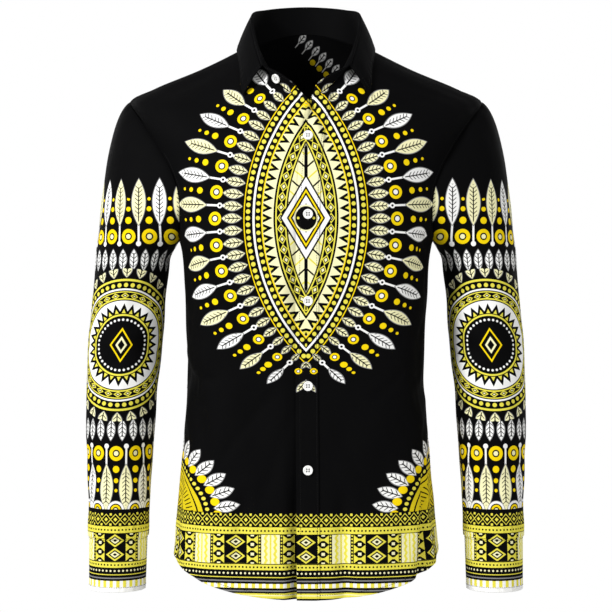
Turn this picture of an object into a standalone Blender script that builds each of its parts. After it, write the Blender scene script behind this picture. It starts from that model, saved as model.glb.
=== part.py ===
"""Long-sleeve button-front shirt, filled out as worn and hollow, modelled as it is cut and sewn.

Lengths are millimetres in the tables and functions, and metres in the finished meshes.
+Z is up, the front faces -Y, and +X is the wearer's left. The origin lies between the
shoulders at the height where the shoulder seams meet the collar.

Every body panel is a patch of one surface, S(angle, ring). The angle is 0 degrees at the centre
front, 90 at the wearer's left side and 180 at the centre back. The ring is a height in
millimetres up to the armpit, and past it counts on over the shoulder to the neck seam.
"""

import math

import bmesh
import bpy
import numpy as np
from mathutils import Matrix, Vector

MM = 0.001

# Cloth
CLOTH = 1.2
STAND_THICKNESS = 1.9
LEAF_THICKNESS = 1.5
CUFF_THICKNESS = 2.0
SEAM_GAP = 0.3
LAYER_GAP = 0.3

# Torso rings. Side, front and back give where the ring crosses the three meridians.
NECK_RING = 100.0
TORSO_RINGS = np.array([
    # ring, side_x, side_y, side_z, front_y, front_z, back_y, back_z, square
    (-745, 181.0, 0, -745, -124, -745, 121, -745, 0.070),
    (-640, 175.0, 0, -640, -122, -640, 119, -640, 0.070),
    (-540, 165.5, 0, -540, -117, -540, 113, -540, 0.070),
    (-430, 159.0, 0, -430, -113, -430, 106, -430, 0.070),
    (-340, 162.0, 0, -340, -118, -340, 110, -340, 0.070),
    (-262, 169.0, 0, -262, -124, -262, 118, -262, 0.060),
    (-205, 186.0, 2, -207, -127, -212, 123, -205, 0.040),
    (-150, 207.0, 4, -150, -124, -172, 124, -150, 0.020),
    (-100, 230.0, 5, -98, -118, -140, 118, -100, 0.000),
    (-65, 238.0, 6, -72, -113, -120, 110, -68, -0.030),
    (-20, 205.0, 6, -53, -107, -104, 101, -38, -0.040),
    (40, 140.0, 6, -25.5, -100, -89, 88, -4, -0.020),
    (NECK_RING, 72.0, 5, 8, -93, -75, 72, 31, 0.000),
])

# Hem, a shirt tail that rises to the side seams
FRONT_HEM, BACK_HEM, SIDE_HEM = -722.5, -735.0, -671.0

# Armhole, a loop about the side meridian: 0 degrees on the shoulder, 180 at the armpit
ARMPIT_RING, TIP_RING = -256.0, -62.0
ARMHOLE_FRONT, ARMHOLE_BACK = 31.0, 27.0
ARMHOLE_SCOOP = 0.16
FRONT_YOKE_TURN, BACK_YOKE_TURN = 20.0, 50.0

# Yoke seams
YOKE_NECK_ANGLE = 72.0
YOKE_BACK_RING = -97.0

# Front edges, as sideways places along the rings: the lapped edge carries the placket
FRONT_EDGES = np.array([
    # ring, lapped_edge, under_edge
    (-745, -11.5, 14.0),
    (-205, -11.5, 14.0),
    (-150, -10.0, 13.5),
    (-100, -7.5, 13.0),
    (-65, -5.0, 12.5),
    (-20, -2.0, 11.5),
    (40, 1.5, 9.0),
    (NECK_RING, 5.6, 4.2),
])
PLACKET_WIDTH = 29.0
NARROWEST_LAP, UNDER_FADE = 8.0, 13.0
PLACKET_REACH = 0.76

# Large soft folds, as ridges (positive) and troughs along straight runs.
# girth runs from the centre front, 250 at the side seam and 500 at the centre back.
TORSO_FOLDS = np.array([
    # girth_1, height_1, girth_2, height_2, depth, half_width
    (-232, -432, -150, -452, -5.0, 17),
    (-150, -470, -78, -590, -3.5, 24),
    (-60, -470, -28, -640, -2.6, 17),
    (-205, -402, -120, -418, 3.0, 20),
    (236, -440, 150, -470, -3.6, 20),
    (130, -490, 62, -610, -2.8, 24),
    (205, -545, 196, -665, -4.0, 20),
    (-200, -560, -186, -670, -2.6, 20),
    (178, -250, 132, -330, -3.0, 18),
    (-178, -250, -138, -320, -2.6, 18),
    (300, -300, 380, -360, -3.4, 22),
    (-300, -300, -372, -352, -3.0, 22),
    (262, -430, 345, -455, -4.6, 19),
    (-262, -425, -350, -448, -4.2, 19),
    (400, -470, 425, -640, -3.6, 25),
    (-392, -480, -430, -650, -3.4, 26),
    (468, -160, 452, -380, -2.6, 20),
    (-462, -160, -448, -372, -2.4, 20),
])
TORSO_HALF_GIRTH = 500.0

# Sleeve sections below the armpit, hanging, for the wearer's left
SLEEVE_SECTIONS = np.array([
    # height, centre_x, centre_y, half_width, half_depth
    (-722, 252.0, -23, 37.6, 38.5),
    (-652, 251.4, -17, 39.0, 41.5),
    (-610, 250.8, -13, 40.8, 45.0),
    (-540, 250.2, -7, 44.5, 49.5),
    (-470, 248.6, -2, 47.4, 54.0),
    (-400, 243.9, 1, 49.6, 58.0),
    (-345, 239.5, 2, 49.6, 60.0),
    (-285, 234.0, 3, 49.5, 62.0),
])
BICEP, CUFF_SEAM, CUFF_END = -285.0, -652.0, -722.0
CUFF_BLOUSE = 1.6
CAP_LEAVE, CAP_ARRIVE = 0.47, 0.80
SLEEVE_FOLDS = np.array([
    # girth_1, height_1, girth_2, height_2, depth, half_width
    (135, -392, 54, -425, -3.4, 15),
    (36, -372, 106, -352, -2.6, 15),
    (-54, -405, -135, -440, -3.0, 17),
    (152, -470, 72, -500, -2.4, 16),
    (18, -560, 99, -590, -2.2, 15),
    (-27, -590, -117, -560, -2.4, 15),
    (140, -312, 86, -350, -2.8, 15),
    (-135, -315, -81, -352, -2.6, 16),
])
SLEEVE_HALF_GIRTH = 162.0

# Cuffs. The band starts beneath its own lap at the back of the wrist and turns forwards.
CUFF_START, CUFF_STEP, CUFF_STEPS, CUFF_LAP_STEPS = -68.6, 18.0, 22, 2
CUFF_BUTTON_TURN = -92.0
SLIT_ROWS, SLIT_COLUMNS = 4, (13, 15)

# Collar stand: its upper edge, for the wearer's left, from the leaf's corner to the centre back
STAND_CREST = np.array([
    # angle, x, y, z
    (28, 56.0, -80.0, -32.5),
    (40, 62.0, -63.0, -13.0),
    (60, 68.5, -35.0, 13.0),
    (90, 73.0, 5.0, 43.5),
    (135, 53.5, 54.0, 60.0),
    (180, 0.0, 74.0, 67.0),
    (225, -53.5, 54.0, 60.0),
])
LEAF_CORNER = 28.0
TAB_END_LEFT, TAB_END_RIGHT = (15.0, -97.5, -55.0), (-21.5, -97.5, -53.0)
TAB_ROUND, TAB_ROUND_LENGTH = 0.20, 0.45
TAB_BOW = 1.5

# Collar leaf: folds over the stand's upper edge, and its own edge lies just off the body
LEAF_FOLD_RADIUS, LEAF_FOLD_SIDE, LEAF_FOLD_RISE = 1.15, 0.2, 1.4
LEAF_EDGE = np.array([
    # angle, body_angle, body_ring, lift
    (28, 35.0, 30.5, 3.4),
    (40, 43.0, 50.0, 3.2),
    (60, 56.0, 70.5, 3.2),
    (90, 88.0, 84.0, 3.4),
    (135, 137.0, 84.0, 6.0),
    (180, 180.0, 80.0, 8.0),
    (225, 223.0, 84.0, 6.0),
])
LEAF_BOW = 1.6

# Buttons, with the rings at which the front ones stand
BUTTON_RADIUS, BUTTON_HEIGHT, BUTTON_DISH = 6.35, 2.5, 0.7
BUTTON_FACE, BUTTON_HOLE, BUTTON_HOLE_PLACE = 4.4, 0.8, 1.75
BUTTON_SIDES = 18
BUTTON_LINE = 2.5
FRONT_BUTTONS = (-78.5, -224.0, -339.0, -448.5, -556.5)
COLLAR_BUTTON_ANGLE, COLLAR_BUTTON_HEIGHT = 338.6, 0.53
BUTTON_STAND_OFF = 0.7

# Mesh density
SIDE_ROWS, SCYE_ROWS, YOKE_SCYE_ROWS, BACK_SCYE_ROWS = 14, 8, 4, 7
FRONT_NECK_COLUMNS, FRONT_YOKE_COLUMNS = 5, 5
BACK_HALF_COLUMNS = 10
YOKE_BANDS, CAP_ROWS, SLEEVE_ROWS = 5, 7, 12
TAB_COLUMNS, COLLAR_COLUMNS, LEAF_ROWS = 4, 30, 3
EDGE_FADE, EDGE_ROWS_DROP = 4, 44.0


def through_rows(table, at):
    """All columns of a table at each value of its first column, on cubic curves through its rows."""
    knots, values = table[:, 0], table[:, 1:]
    slopes = np.gradient(values, knots, axis=0)
    at = np.clip(np.asarray(at, float), knots[0], knots[-1])
    i = np.clip(np.searchsorted(knots, at) - 1, 0, len(knots) - 2)
    span = (knots[i + 1] - knots[i])[..., None]
    t = (at - knots[i])[..., None] / span
    return (
        (2 * t**3 - 3 * t**2 + 1) * values[i]
        + (t**3 - 2 * t**2 + t) * span * slopes[i]
        + (3 * t**2 - 2 * t**3) * values[i + 1]
        + (t**3 - t**2) * span * slopes[i + 1]
    )


def unit(vectors):
    """The vectors at length 1."""
    return vectors / np.maximum(np.linalg.norm(vectors, axis=-1, keepdims=True), 1e-9)


def run_relief(across, up, folds):
    """Height of soft folds: each is a bell across its run, and fades near the run's ends."""
    total = np.zeros(np.broadcast(across, up).shape)
    for across_1, up_1, across_2, up_2, depth, half_width in folds:
        run = np.array([across_2 - across_1, up_2 - up_1])
        along = ((across - across_1) * run[0] + (up - up_1) * run[1]) / (run @ run)
        beside = ((across - across_1) * run[1] - (up - up_1) * run[0]) / math.hypot(*run)
        fade = np.clip(1.5 * (1 - np.abs(2 * along - 1)) + 0.5, 0, 1)
        total += depth * fade**2 * (3 - 2 * fade) * np.exp(-((beside / half_width) ** 2))
    return total


def soft_folds(angle, up, folds, half_girth):
    """Relief of a tube's folds. The girth runs from -half_girth to half_girth, and wraps."""
    turned = (np.asarray(angle, float) + 180) % 360 - 180
    across = turned * half_girth / 180
    wraps = (across - 2 * half_girth * side for side in (-1, 0, 1))
    return sum(run_relief(wrap, up, folds) for wrap in wraps)


def torso_plain(angle, ring):
    """The torso before its folds. A ring is an oval, squared by a third harmonic."""
    angle, ring = np.broadcast_arrays(np.asarray(angle, float), np.asarray(ring, float))
    side_x, side_y, side_z, front_y, front_z, back_y, back_z, square = np.moveaxis(
        through_rows(TORSO_RINGS, ring), -1, 0
    )
    a = np.radians(angle)
    sine = (np.sin(a) + square * np.sin(3 * a)) / (1 - square)
    cosine = (np.cos(a) - square * np.cos(3 * a)) / (1 - square)
    faces_front = np.cos(a) >= 0
    end_y = np.where(faces_front, front_y, back_y)
    end_z = np.where(faces_front, front_z, back_z)
    return np.stack(
        [
            side_x * sine,
            side_y + (end_y - side_y) * np.abs(cosine),
            side_z * np.sin(a) ** 2 + end_z * np.cos(a) ** 2,
        ],
        axis=-1,
    )


def torso_normal(angle, ring):
    """Outward normal of the torso, from small steps along its two parameters."""
    step = 0.2
    low = np.minimum(np.asarray(ring, float), NECK_RING - step)
    around = torso_plain(np.add(angle, step), ring) - torso_plain(np.subtract(angle, step), ring)
    up = torso_plain(angle, low + step) - torso_plain(angle, low - step)
    return unit(np.cross(around, up))


def torso(angle, ring, lift=0.0):
    """Points of the torso's outer face, with its folds, moved out by lift."""
    plain = torso_plain(angle, ring)
    relief = soft_folds(angle, plain[..., 2], TORSO_FOLDS, TORSO_HALF_GIRTH)
    return plain + (relief + lift)[..., None] * torso_normal(angle, ring)


def angle_at(sideways, ring):
    """Angle near the centre front whose point on the ring lies that far sideways."""
    rows = through_rows(TORSO_RINGS, ring)
    side_x, square = rows[..., 0], rows[..., 7]
    angle = np.asarray(sideways) * (1 - square) / (side_x * (1 + 3 * square))
    for _ in range(4):
        sine = (np.sin(angle) + square * np.sin(3 * angle)) / (1 - square)
        slope = (np.cos(angle) + 3 * square * np.cos(3 * angle)) / (1 - square)
        angle = angle - (sine * side_x - sideways) / (slope * side_x)
    return np.degrees(angle)


def hem_ring(angle):
    """Height of the hem at each angle: low at the centres, and rising to the side seams."""
    turned = np.abs((np.asarray(angle, float) + 180) % 360 - 180)
    lowest = np.where(turned <= 90, FRONT_HEM, BACK_HEM)
    return lowest + (SIDE_HEM - lowest) * np.sin(np.radians(turned)) ** 2


def armhole(turn):
    """(angle, ring) of the armhole loop on the wearer's left. Turn is positive to the front."""
    t = np.radians(turn)
    reach = np.where(np.sin(t) >= 0, ARMHOLE_FRONT, ARMHOLE_BACK)
    angle = 90 - reach * (np.sin(t) - ARMHOLE_SCOOP * np.sin(2 * t))
    middle, half = (ARMPIT_RING + TIP_RING) / 2, (TIP_RING - ARMPIT_RING) / 2
    return np.stack([angle, middle + half * np.cos(t)], axis=-1)


def line(start, end, count):
    """Straight run of count steps between two (angle, ring) places."""
    return np.linspace(np.asarray(start, float), np.asarray(end, float), count + 1)


def joined(*runs):
    """Runs that follow one another, as one."""
    return np.concatenate([runs[0]] + [run[1:] for run in runs[1:]])


def patch(bottom, top, left, right):
    """Grid of (angle, ring) places that meets four edge runs.

    Its rows run straight from the left edge to the right one, which keeps them out of the
    armhole. Near the bottom and the top they bend to meet those edges.
    """
    s = np.linspace(0, 1, len(bottom))[None, :, None]
    t = np.linspace(0, 1, len(left))[:, None, None]
    bottom_bend = bottom - ((1 - s) * bottom[0] + s * bottom[-1])
    top_bend = top - ((1 - s) * top[0] + s * top[-1])
    rows = (1 - s) * left[:, None] + s * right[:, None]
    return rows + (1 - t) ** EDGE_FADE * bottom_bend + t**EDGE_FADE * top_bend


def seam_allowance(outer, closed=False):
    """Moves that draw a grid's edges in by half the seam gap, square to each edge."""
    move = np.zeros_like(outer)

    def draw_in(edge, neighbour):
        along = unit(np.gradient(edge, axis=0))
        inward = neighbour - edge
        inward = inward - (inward * along).sum(-1, keepdims=True) * along
        return unit(inward) * SEAM_GAP / 2

    move[0] += draw_in(outer[0], outer[1])
    move[-1] += draw_in(outer[-1], outer[-2])
    if not closed:
        move[:, 0] += draw_in(outer[:, 0], outer[:, 1])
        move[:, -1] += draw_in(outer[:, -1], outer[:, -2])
    return move


def wall(name, outer, inner, material, closed=False):
    """A closed cloth wall between two grids of points: two faces and the rims between them."""
    rows, columns = outer.shape[:2]
    count = rows * columns
    wrap = columns if closed else columns - 1

    def corner(side, row, column):
        return side * count + row * columns + column % columns

    faces = []
    for row in range(rows - 1):
        for column in range(wrap):
            quad = [(row, column), (row, column + 1), (row + 1, column + 1), (row + 1, column)]
            faces.append([corner(0, *place) for place in quad])
            faces.append([corner(1, *place) for place in reversed(quad)])
    for column in range(wrap):
        for row, ends in ((0, (column + 1, column)), (rows - 1, (column, column + 1))):
            faces.append([corner(0, row, ends[0]), corner(0, row, ends[1]),
                          corner(1, row, ends[1]), corner(1, row, ends[0])])
    if not closed:
        for row in range(rows - 1):
            for column, ends in ((0, (row, row + 1)), (columns - 1, (row + 1, row))):
                faces.append([corner(0, ends[0], column), corner(0, ends[1], column),
                              corner(1, ends[1], column), corner(1, ends[0], column)])
    points = np.concatenate([outer.reshape(-1, 3), inner.reshape(-1, 3)]) * MM
    mesh = bpy.data.meshes.new(name)
    mesh.from_pydata(points.tolist(), [], faces)
    shape = bmesh.new()
    shape.from_mesh(mesh)
    bmesh.ops.triangulate(shape, faces=shape.faces)
    bmesh.ops.recalc_face_normals(shape, faces=shape.faces)
    shape.to_mesh(mesh)
    shape.free()
    mesh.shade_smooth()
    mesh.materials.append(material)
    return place(name, mesh)


def place(name, mesh):
    """An object for a mesh, linked to the scene."""
    made = bpy.data.objects.new(name, mesh)
    bpy.context.scene.collection.objects.link(made)
    return made


def finish(name, colour, roughness):
    """A material with a plain colour."""
    made = bpy.data.materials.new(name)
    made.use_nodes = True
    shader = made.node_tree.nodes["Principled BSDF"]
    shader.inputs["Base Color"].default_value = (*colour, 1.0)
    shader.inputs["Roughness"].default_value = roughness
    return made


def torso_wall(name, places, material, lift=0.0, thickness=CLOTH):
    """A panel of the torso: its (angle, ring) grid, as a wall that reaches in from the surface.

    Returns its outer face.
    """
    outer = torso(places[..., 0], places[..., 1], lift)
    outer = outer + seam_allowance(outer)
    inner = outer - thickness * torso_normal(places[..., 0], places[..., 1])
    wall(name, outer, inner, material)
    return outer


def side_run():
    """The wearer's left side seam, from the hem to the armpit."""
    return line((90, SIDE_HEM), (90, ARMPIT_RING), SIDE_ROWS)


def front_scye_turns():
    """Turns round the armhole from the armpit up to the front yoke seam."""
    return np.linspace(180, FRONT_YOKE_TURN, SCYE_ROWS + 1)


def yoke_scye_turns():
    """Turns over the shoulder from the front yoke seam to the back one."""
    return np.linspace(FRONT_YOKE_TURN, -BACK_YOKE_TURN, YOKE_SCYE_ROWS + 1)


def back_scye_turns():
    """Turns from the back yoke seam down to the armpit."""
    return np.linspace(-BACK_YOKE_TURN, -180, BACK_SCYE_ROWS + 1)


def front_edge_rings():
    """Rings of the rows of a front along its free edge, lower there than at the armhole."""
    level = ARMPIT_RING - EDGE_ROWS_DROP
    lower = np.linspace(FRONT_HEM, level, SIDE_ROWS + 1)
    upper = np.linspace(level, NECK_RING, SCYE_ROWS + 1)
    return np.concatenate([lower, upper[1:]])


def front_places(side):
    """Grid of one front. Side is 1 for the wearer's left and -1 for the right.

    Its first three columns are its own free edge, the other front's edge, so that both fronts
    have the same facets where they lap, and the placket's far edge or the end of the sunk strip.
    """
    rings = front_edge_rings()
    edges = through_rows(FRONT_EDGES, rings)
    own = edges[:, 0] if side > 0 else -edges[:, 1]
    other = edges[:, 1] if side > 0 else -edges[:, 0]
    lap = np.maximum(other, own + NARROWEST_LAP)
    third = own + PLACKET_WIDTH if side > 0 else lap + UNDER_FADE
    angles = angle_at(np.stack([own, lap, third], axis=-1), rings[:, None])
    strip = np.stack([angles, np.broadcast_to(rings[:, None], angles.shape)], axis=-1)
    strip[0, :, 1] = hem_ring(angles[0])

    right = joined(side_run(), armhole(front_scye_turns()))
    hem_angles = np.linspace(angles[0, -1], 90, FRONT_NECK_COLUMNS + FRONT_YOKE_COLUMNS + 1)
    bottom = np.stack([hem_angles, hem_ring(hem_angles)], axis=-1)
    yoke_corner = (YOKE_NECK_ANGLE, NECK_RING)
    top = joined(
        line(strip[-1, -1], yoke_corner, FRONT_NECK_COLUMNS),
        line(yoke_corner, right[-1], FRONT_YOKE_COLUMNS),
    )
    body = patch(bottom, top, strip[:, -1], right)
    return np.concatenate([strip[:, :-1], body], axis=1) * (side, 1)


def neck_edge(places, lift=0.0):
    """Rows of (angle, x, y, z) along a run of the neck edge. Angles go on past 180 degrees."""
    points = torso(places[:, 0], places[:, 1], lift)
    return np.concatenate([places[:, :1] % 360, points], axis=1)


def build_fronts(cloth):
    """The lapped front, the under front and the placket sewn over the lapped edge.

    The under front sinks along its first two columns, to pass beneath the lapped one. The
    placket ends a little below the neck seam. Returns the placket's outer face, which the
    buttons stand on, and the two neck edges, as rows of (angle, x, y, z).
    """
    lapped, under = front_places(1), front_places(-1)
    torso_wall("front_left", lapped, cloth)
    drop = np.zeros(under.shape[:2])
    drop[:, :2] = CLOTH + LAYER_GAP
    torso_wall("front_right", under, cloth, lift=-drop)
    strip = lapped[:, :3]
    faces = [torso(strip[..., 0], strip[..., 1], lift) for lift in (CLOTH + LAYER_GAP, LAYER_GAP)]
    for face in faces:
        face[-1] = face[-2] + PLACKET_REACH * (face[-1] - face[-2])
        face += seam_allowance(face)
    wall("placket", faces[0], faces[1], cloth)
    neck = np.s_[-1, : 3 + FRONT_NECK_COLUMNS]
    return faces[0], neck_edge(lapped[neck]), neck_edge(under[neck], -drop[neck])


def back_top_run():
    """The back yoke seam, from the left armhole to the right one."""
    start = armhole(-BACK_YOKE_TURN)
    half = line(start, (180, YOKE_BACK_RING), BACK_HALF_COLUMNS)
    other = half[::-1] * (-1, 1) + (360, 0)
    return joined(half, other)


def build_back(cloth):
    """The back, from side seam to side seam below the yoke."""
    top = back_top_run()
    scye = armhole(back_scye_turns())[::-1]
    left = joined(side_run(), scye)
    right = left * (-1, 1) + (360, 0)
    hem_angles = np.linspace(90, 270, len(top))
    bottom = np.stack([hem_angles, hem_ring(hem_angles)], axis=-1)
    torso_wall("back", patch(bottom, top, left, right), cloth)


def build_yoke(cloth):
    """The yoke, a band round the back of the neck. Returns its neck edge."""
    scye = armhole(yoke_scye_turns())
    other_scye = scye[::-1] * (-1, 1) + (360, 0)
    outer = joined(scye, back_top_run(), other_scye)
    inner = line((YOKE_NECK_ANGLE, NECK_RING), (360 - YOKE_NECK_ANGLE, NECK_RING), len(outer) - 1)
    torso_wall("yoke", np.linspace(outer, inner, YOKE_BANDS + 1), cloth)
    return neck_edge(inner)


def sleeve_section(turn, height):
    """Point of a hanging sleeve: an oval at each height. Turn 0 is outwards, 90 is the front."""
    turn, height = np.broadcast_arrays(np.asarray(turn, float), np.asarray(height, float))
    centre_x, centre_y, half_width, half_depth = np.moveaxis(
        through_rows(SLEEVE_SECTIONS, height), -1, 0
    )
    t = np.radians(turn)
    return np.stack(
        [centre_x + half_width * np.cos(t), centre_y - half_depth * np.sin(t), height], axis=-1
    )


def cap_start(turn):
    """Direction in which the sleeve leaves the armhole.

    It runs on along the shoulder, out at the sides and down at the armpit.
    """
    t = np.radians(turn)
    low = (1 - np.cos(t)) / 2
    across = 0.91 - 0.40 * low**2
    up = -0.42 + 0.35 * np.sin(t) ** 2 - 0.45 * low**3
    return unit(np.stack([across, -0.30 * np.sin(t), up], axis=-1))


def sleeve_cap(turns, rows):
    """Rows from the armhole to the bicep, each meridian a cubic between the two."""
    places = armhole(turns)
    start = torso(places[:, 0], places[:, 1])
    end = sleeve_section(turns, BICEP)
    reach = np.linalg.norm(end - start, axis=-1, keepdims=True)
    leave = cap_start(turns) * reach * CAP_LEAVE
    arrive = unit(sleeve_section(turns, BICEP - 5) - end) * reach * CAP_ARRIVE
    t = np.linspace(0, 1, rows + 1)[:, None, None] ** 1.15
    return (
        (2 * t**3 - 3 * t**2 + 1) * start
        + (t**3 - 2 * t**2 + t) * leave
        + (3 * t**2 - 2 * t**3) * end
        + (t**3 - t**2) * arrive
    )


def sleeve_turns():
    """Turns of the sleeve's columns, which are those of the panels round the armhole."""
    return np.concatenate(
        [front_scye_turns(), yoke_scye_turns()[1:], back_scye_turns()[1:-1]]
    )


def tube_normals(grid):
    """Outward normals of a tube whose rows go down and whose columns go from front to back."""
    around = np.roll(grid, -1, axis=1) - np.roll(grid, 1, axis=1)
    return unit(np.cross(np.gradient(grid, axis=0), around))


def sleeve_face():
    """Outer face of the wearer's left sleeve and its normals, with the folds in it."""
    turns = sleeve_turns()
    heights = np.linspace(BICEP, CUFF_SEAM + SEAM_GAP / 2, SLEEVE_ROWS + 1)
    tube = sleeve_section(turns[None, :], heights[1:, None])
    outer = np.concatenate([sleeve_cap(turns, CAP_ROWS), tube])
    above_cuff = outer[..., 2] - CUFF_SEAM
    relief = soft_folds(turns[None, :], outer[..., 2], SLEEVE_FOLDS, SLEEVE_HALF_GIRTH)
    relief *= np.clip(above_cuff / 25, 0, 1)
    relief *= np.clip(np.arange(len(outer)) / 6, 0, 1)[:, None]
    relief += CUFF_BLOUSE * np.exp(-((above_cuff / 30) ** 2))
    outer = outer + tube_normals(outer) * relief[..., None]
    normal = tube_normals(outer)
    outer[-1, :, 2] = heights[-1]
    normal[-1, :, 2] = 0
    return outer, normal


def armhole_frame():
    """At each sleeve column: the torso's normal, and the way along the torso into the hole."""
    places = armhole(sleeve_turns())
    seam = torso(places[:, 0], places[:, 1])
    normal = torso_normal(places[:, 0], places[:, 1])
    along = unit(np.roll(seam, -1, axis=0) - np.roll(seam, 1, axis=0))
    into = unit(np.cross(normal, along))
    return normal, into * np.sign((into * (seam.mean(axis=0) - seam)).sum(-1, keepdims=True))


def build_sleeve(name, cloth, side):
    """A set-in sleeve, with the strip that binds its slit above the cuff.

    The cloth at the armhole stays clear of the torso's edge: it starts half the seam gap inside
    the hole, and is not allowed to reach back over it.
    """
    outer, normal = sleeve_face()
    torso_out, into = armhole_frame()
    low = ((1 - np.cos(np.radians(sleeve_turns()))) / 2)[:, None]
    outer[0] += into * SEAM_GAP / 2 + torso_out * low**3 * SEAM_GAP
    inward = -normal
    inward[0] -= into * np.minimum((inward[0] * into).sum(-1, keepdims=True), 0)
    inward[0] = unit(inward[0])
    inner = outer + CLOTH * inward
    strip = np.s_[-1 - SLIT_ROWS:, SLIT_COLUMNS[0]:SLIT_COLUMNS[1] + 1]
    strip_inner = outer[strip] + LAYER_GAP * normal[strip]
    strip_outer = strip_inner + CLOTH * normal[strip]
    shapes = [np.multiply(shape, (side, 1, 1)) for shape in (outer, inner, strip_outer, strip_inner)]
    wall("sleeve_" + name, shapes[0], shapes[1], cloth, closed=True)
    wall("sleeve_placket_" + name, shapes[2], shapes[3], cloth)


def build_cuff(name, cloth, side):
    """A cuff: one band that laps over its own start. Returns its outer face and normals."""
    steps = np.arange(CUFF_STEPS + 1)
    turns = CUFF_START - CUFF_STEP * steps
    heights = np.linspace(CUFF_SEAM - SEAM_GAP / 2, CUFF_END, 3)
    rise = np.clip((steps - (CUFF_STEPS - CUFF_LAP_STEPS) + 2) / 2, 0, 1)
    face = sleeve_section(turns[None, :], heights[:, None])
    centre = face[:, : CUFF_STEPS - CUFF_LAP_STEPS].mean(axis=1, keepdims=True)
    normal = unit((face - centre) * (1, 0.87, 0))
    outer = face + normal * (rise * (CUFF_THICKNESS + LAYER_GAP))[None, :, None]
    inner = outer - CUFF_THICKNESS * normal
    outer, inner = (np.multiply(shape, (side, 1, 1)) for shape in (outer, inner))
    wall("cuff_" + name, outer, inner, cloth)
    around, down = np.gradient(outer, axis=1), np.gradient(outer, axis=0)
    return outer, side * unit(np.cross(down, around))


def crest(angle):
    """Upper edge of the collar stand at each angle, from leaf corner to leaf corner."""
    turned = np.where(np.asarray(angle, float) > 180, 360 - angle, angle)
    return through_rows(STAND_CREST, turned) * np.stack(
        [np.where(angle > 180, -1.0, 1.0), np.ones_like(turned), np.ones_like(turned)], axis=-1
    )


def tab_crest(share, end, side):
    """Upper edge of a tab, from its end to the leaf's corner, bowed a little upwards."""
    corner = crest(np.array([LEAF_CORNER if side > 0 else 360 - LEAF_CORNER]))[0]
    share = share[:, None]
    bow = 4 * share * (1 - share) * TAB_BOW * np.array([0.0, -0.3, 1.0])
    return np.array(end) * (1 - share) + corner * share + bow


def stand_grid(seam):
    """Outer face of the collar stand: three rows from the neck seam up to the crest."""
    share = np.linspace(0, 1, TAB_COLUMNS + 1)
    left_tab = seam[0, 0] + (LEAF_CORNER - seam[0, 0]) * share
    right_tab = seam[-1, 0] + (360 - LEAF_CORNER - seam[-1, 0]) * share
    middle = np.linspace(LEAF_CORNER, 360 - LEAF_CORNER, COLLAR_COLUMNS + 1)
    angles = joined(left_tab, middle, right_tab[::-1])
    bottom = np.stack([np.interp(angles, seam[:, 0], row) for row in seam[:, 1:].T], axis=-1)
    top = joined(
        tab_crest(share, TAB_END_LEFT, 1),
        crest(middle),
        tab_crest(share, TAB_END_RIGHT, -1)[::-1],
    )
    from_end = np.minimum(np.arange(len(angles)), np.arange(len(angles))[::-1]) / TAB_COLUMNS
    cut = TAB_ROUND * np.clip(1 - from_end / TAB_ROUND_LENGTH, 0, 1) ** 2
    rise = np.linspace(0, 1, 3)[:, None, None] * (1 - cut)[None, :, None]
    return angles, bottom + (top - bottom) * rise


def sheet_normals(grid):
    """Outward normals of a grid whose rows go up and whose columns go to the wearer's left."""
    return unit(np.cross(np.gradient(grid, axis=1), np.gradient(grid, axis=0)))


def build_stand(cloth, seam):
    """The collar stand, whose lower edge follows the facets of the neck edge it is sewn to.

    Returns the angle of each column, its outer face and its normals.
    """
    angles, outer = stand_grid(seam)
    normal = sheet_normals(outer)
    outer = outer + seam_allowance(outer)
    wall("collar_stand", outer, outer - STAND_THICKNESS * normal, cloth)
    return angles, outer, normal


def build_leaf(cloth, stand, normal):
    """The collar leaf. It starts on the stand's upper edge, folds over it and lies outwards."""
    columns = np.s_[TAB_COLUMNS : TAB_COLUMNS + COLLAR_COLUMNS + 1]
    top, out = stand[-1, columns], normal[-1, columns]
    rise = top - stand[-2, columns]
    up = unit(rise - (rise * out).sum(-1, keepdims=True) * out)
    arc = np.radians(np.array([0.0, 60.0, 120.0, 180.0]))
    side = np.concatenate([[-1.0], -np.cos(arc)])
    height = np.concatenate([[0.0], np.sin(arc)])
    across = LEAF_FOLD_SIDE + LEAF_FOLD_RADIUS * side
    lift = LEAF_FOLD_RISE + LEAF_FOLD_RADIUS * height
    lift[0] = LAYER_GAP
    fold = top + across[:, None, None] * out + lift[:, None, None] * up
    fold_out = side[:, None, None] * out + height[:, None, None] * up

    angles = np.linspace(LEAF_CORNER, 360 - LEAF_CORNER, COLLAR_COLUMNS + 1)
    turned = np.minimum(angles, 360 - angles)
    body_angle, body_ring, off = np.moveaxis(through_rows(LEAF_EDGE, turned), -1, 0)
    body_angle = np.where(angles > 180, 360 - body_angle, body_angle)
    edge = torso(body_angle, body_ring, off)
    share = np.linspace(0, 1, LEAF_ROWS + 1)[1:, None, None]
    fall = fold[-1] + (edge - fold[-1]) * share
    middle = np.concatenate([fold[-1:], fall])
    fall_out = -sheet_normals(middle)[1:]
    fall = fall + fall_out * LEAF_BOW * 4 * share * (1 - share)

    centre = np.concatenate([fold, fall])
    outwards = np.concatenate([fold_out, fall_out])
    half = LEAF_THICKNESS / 2
    wall("collar_leaf", centre + half * outwards, centre - half * outwards, cloth)


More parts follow.
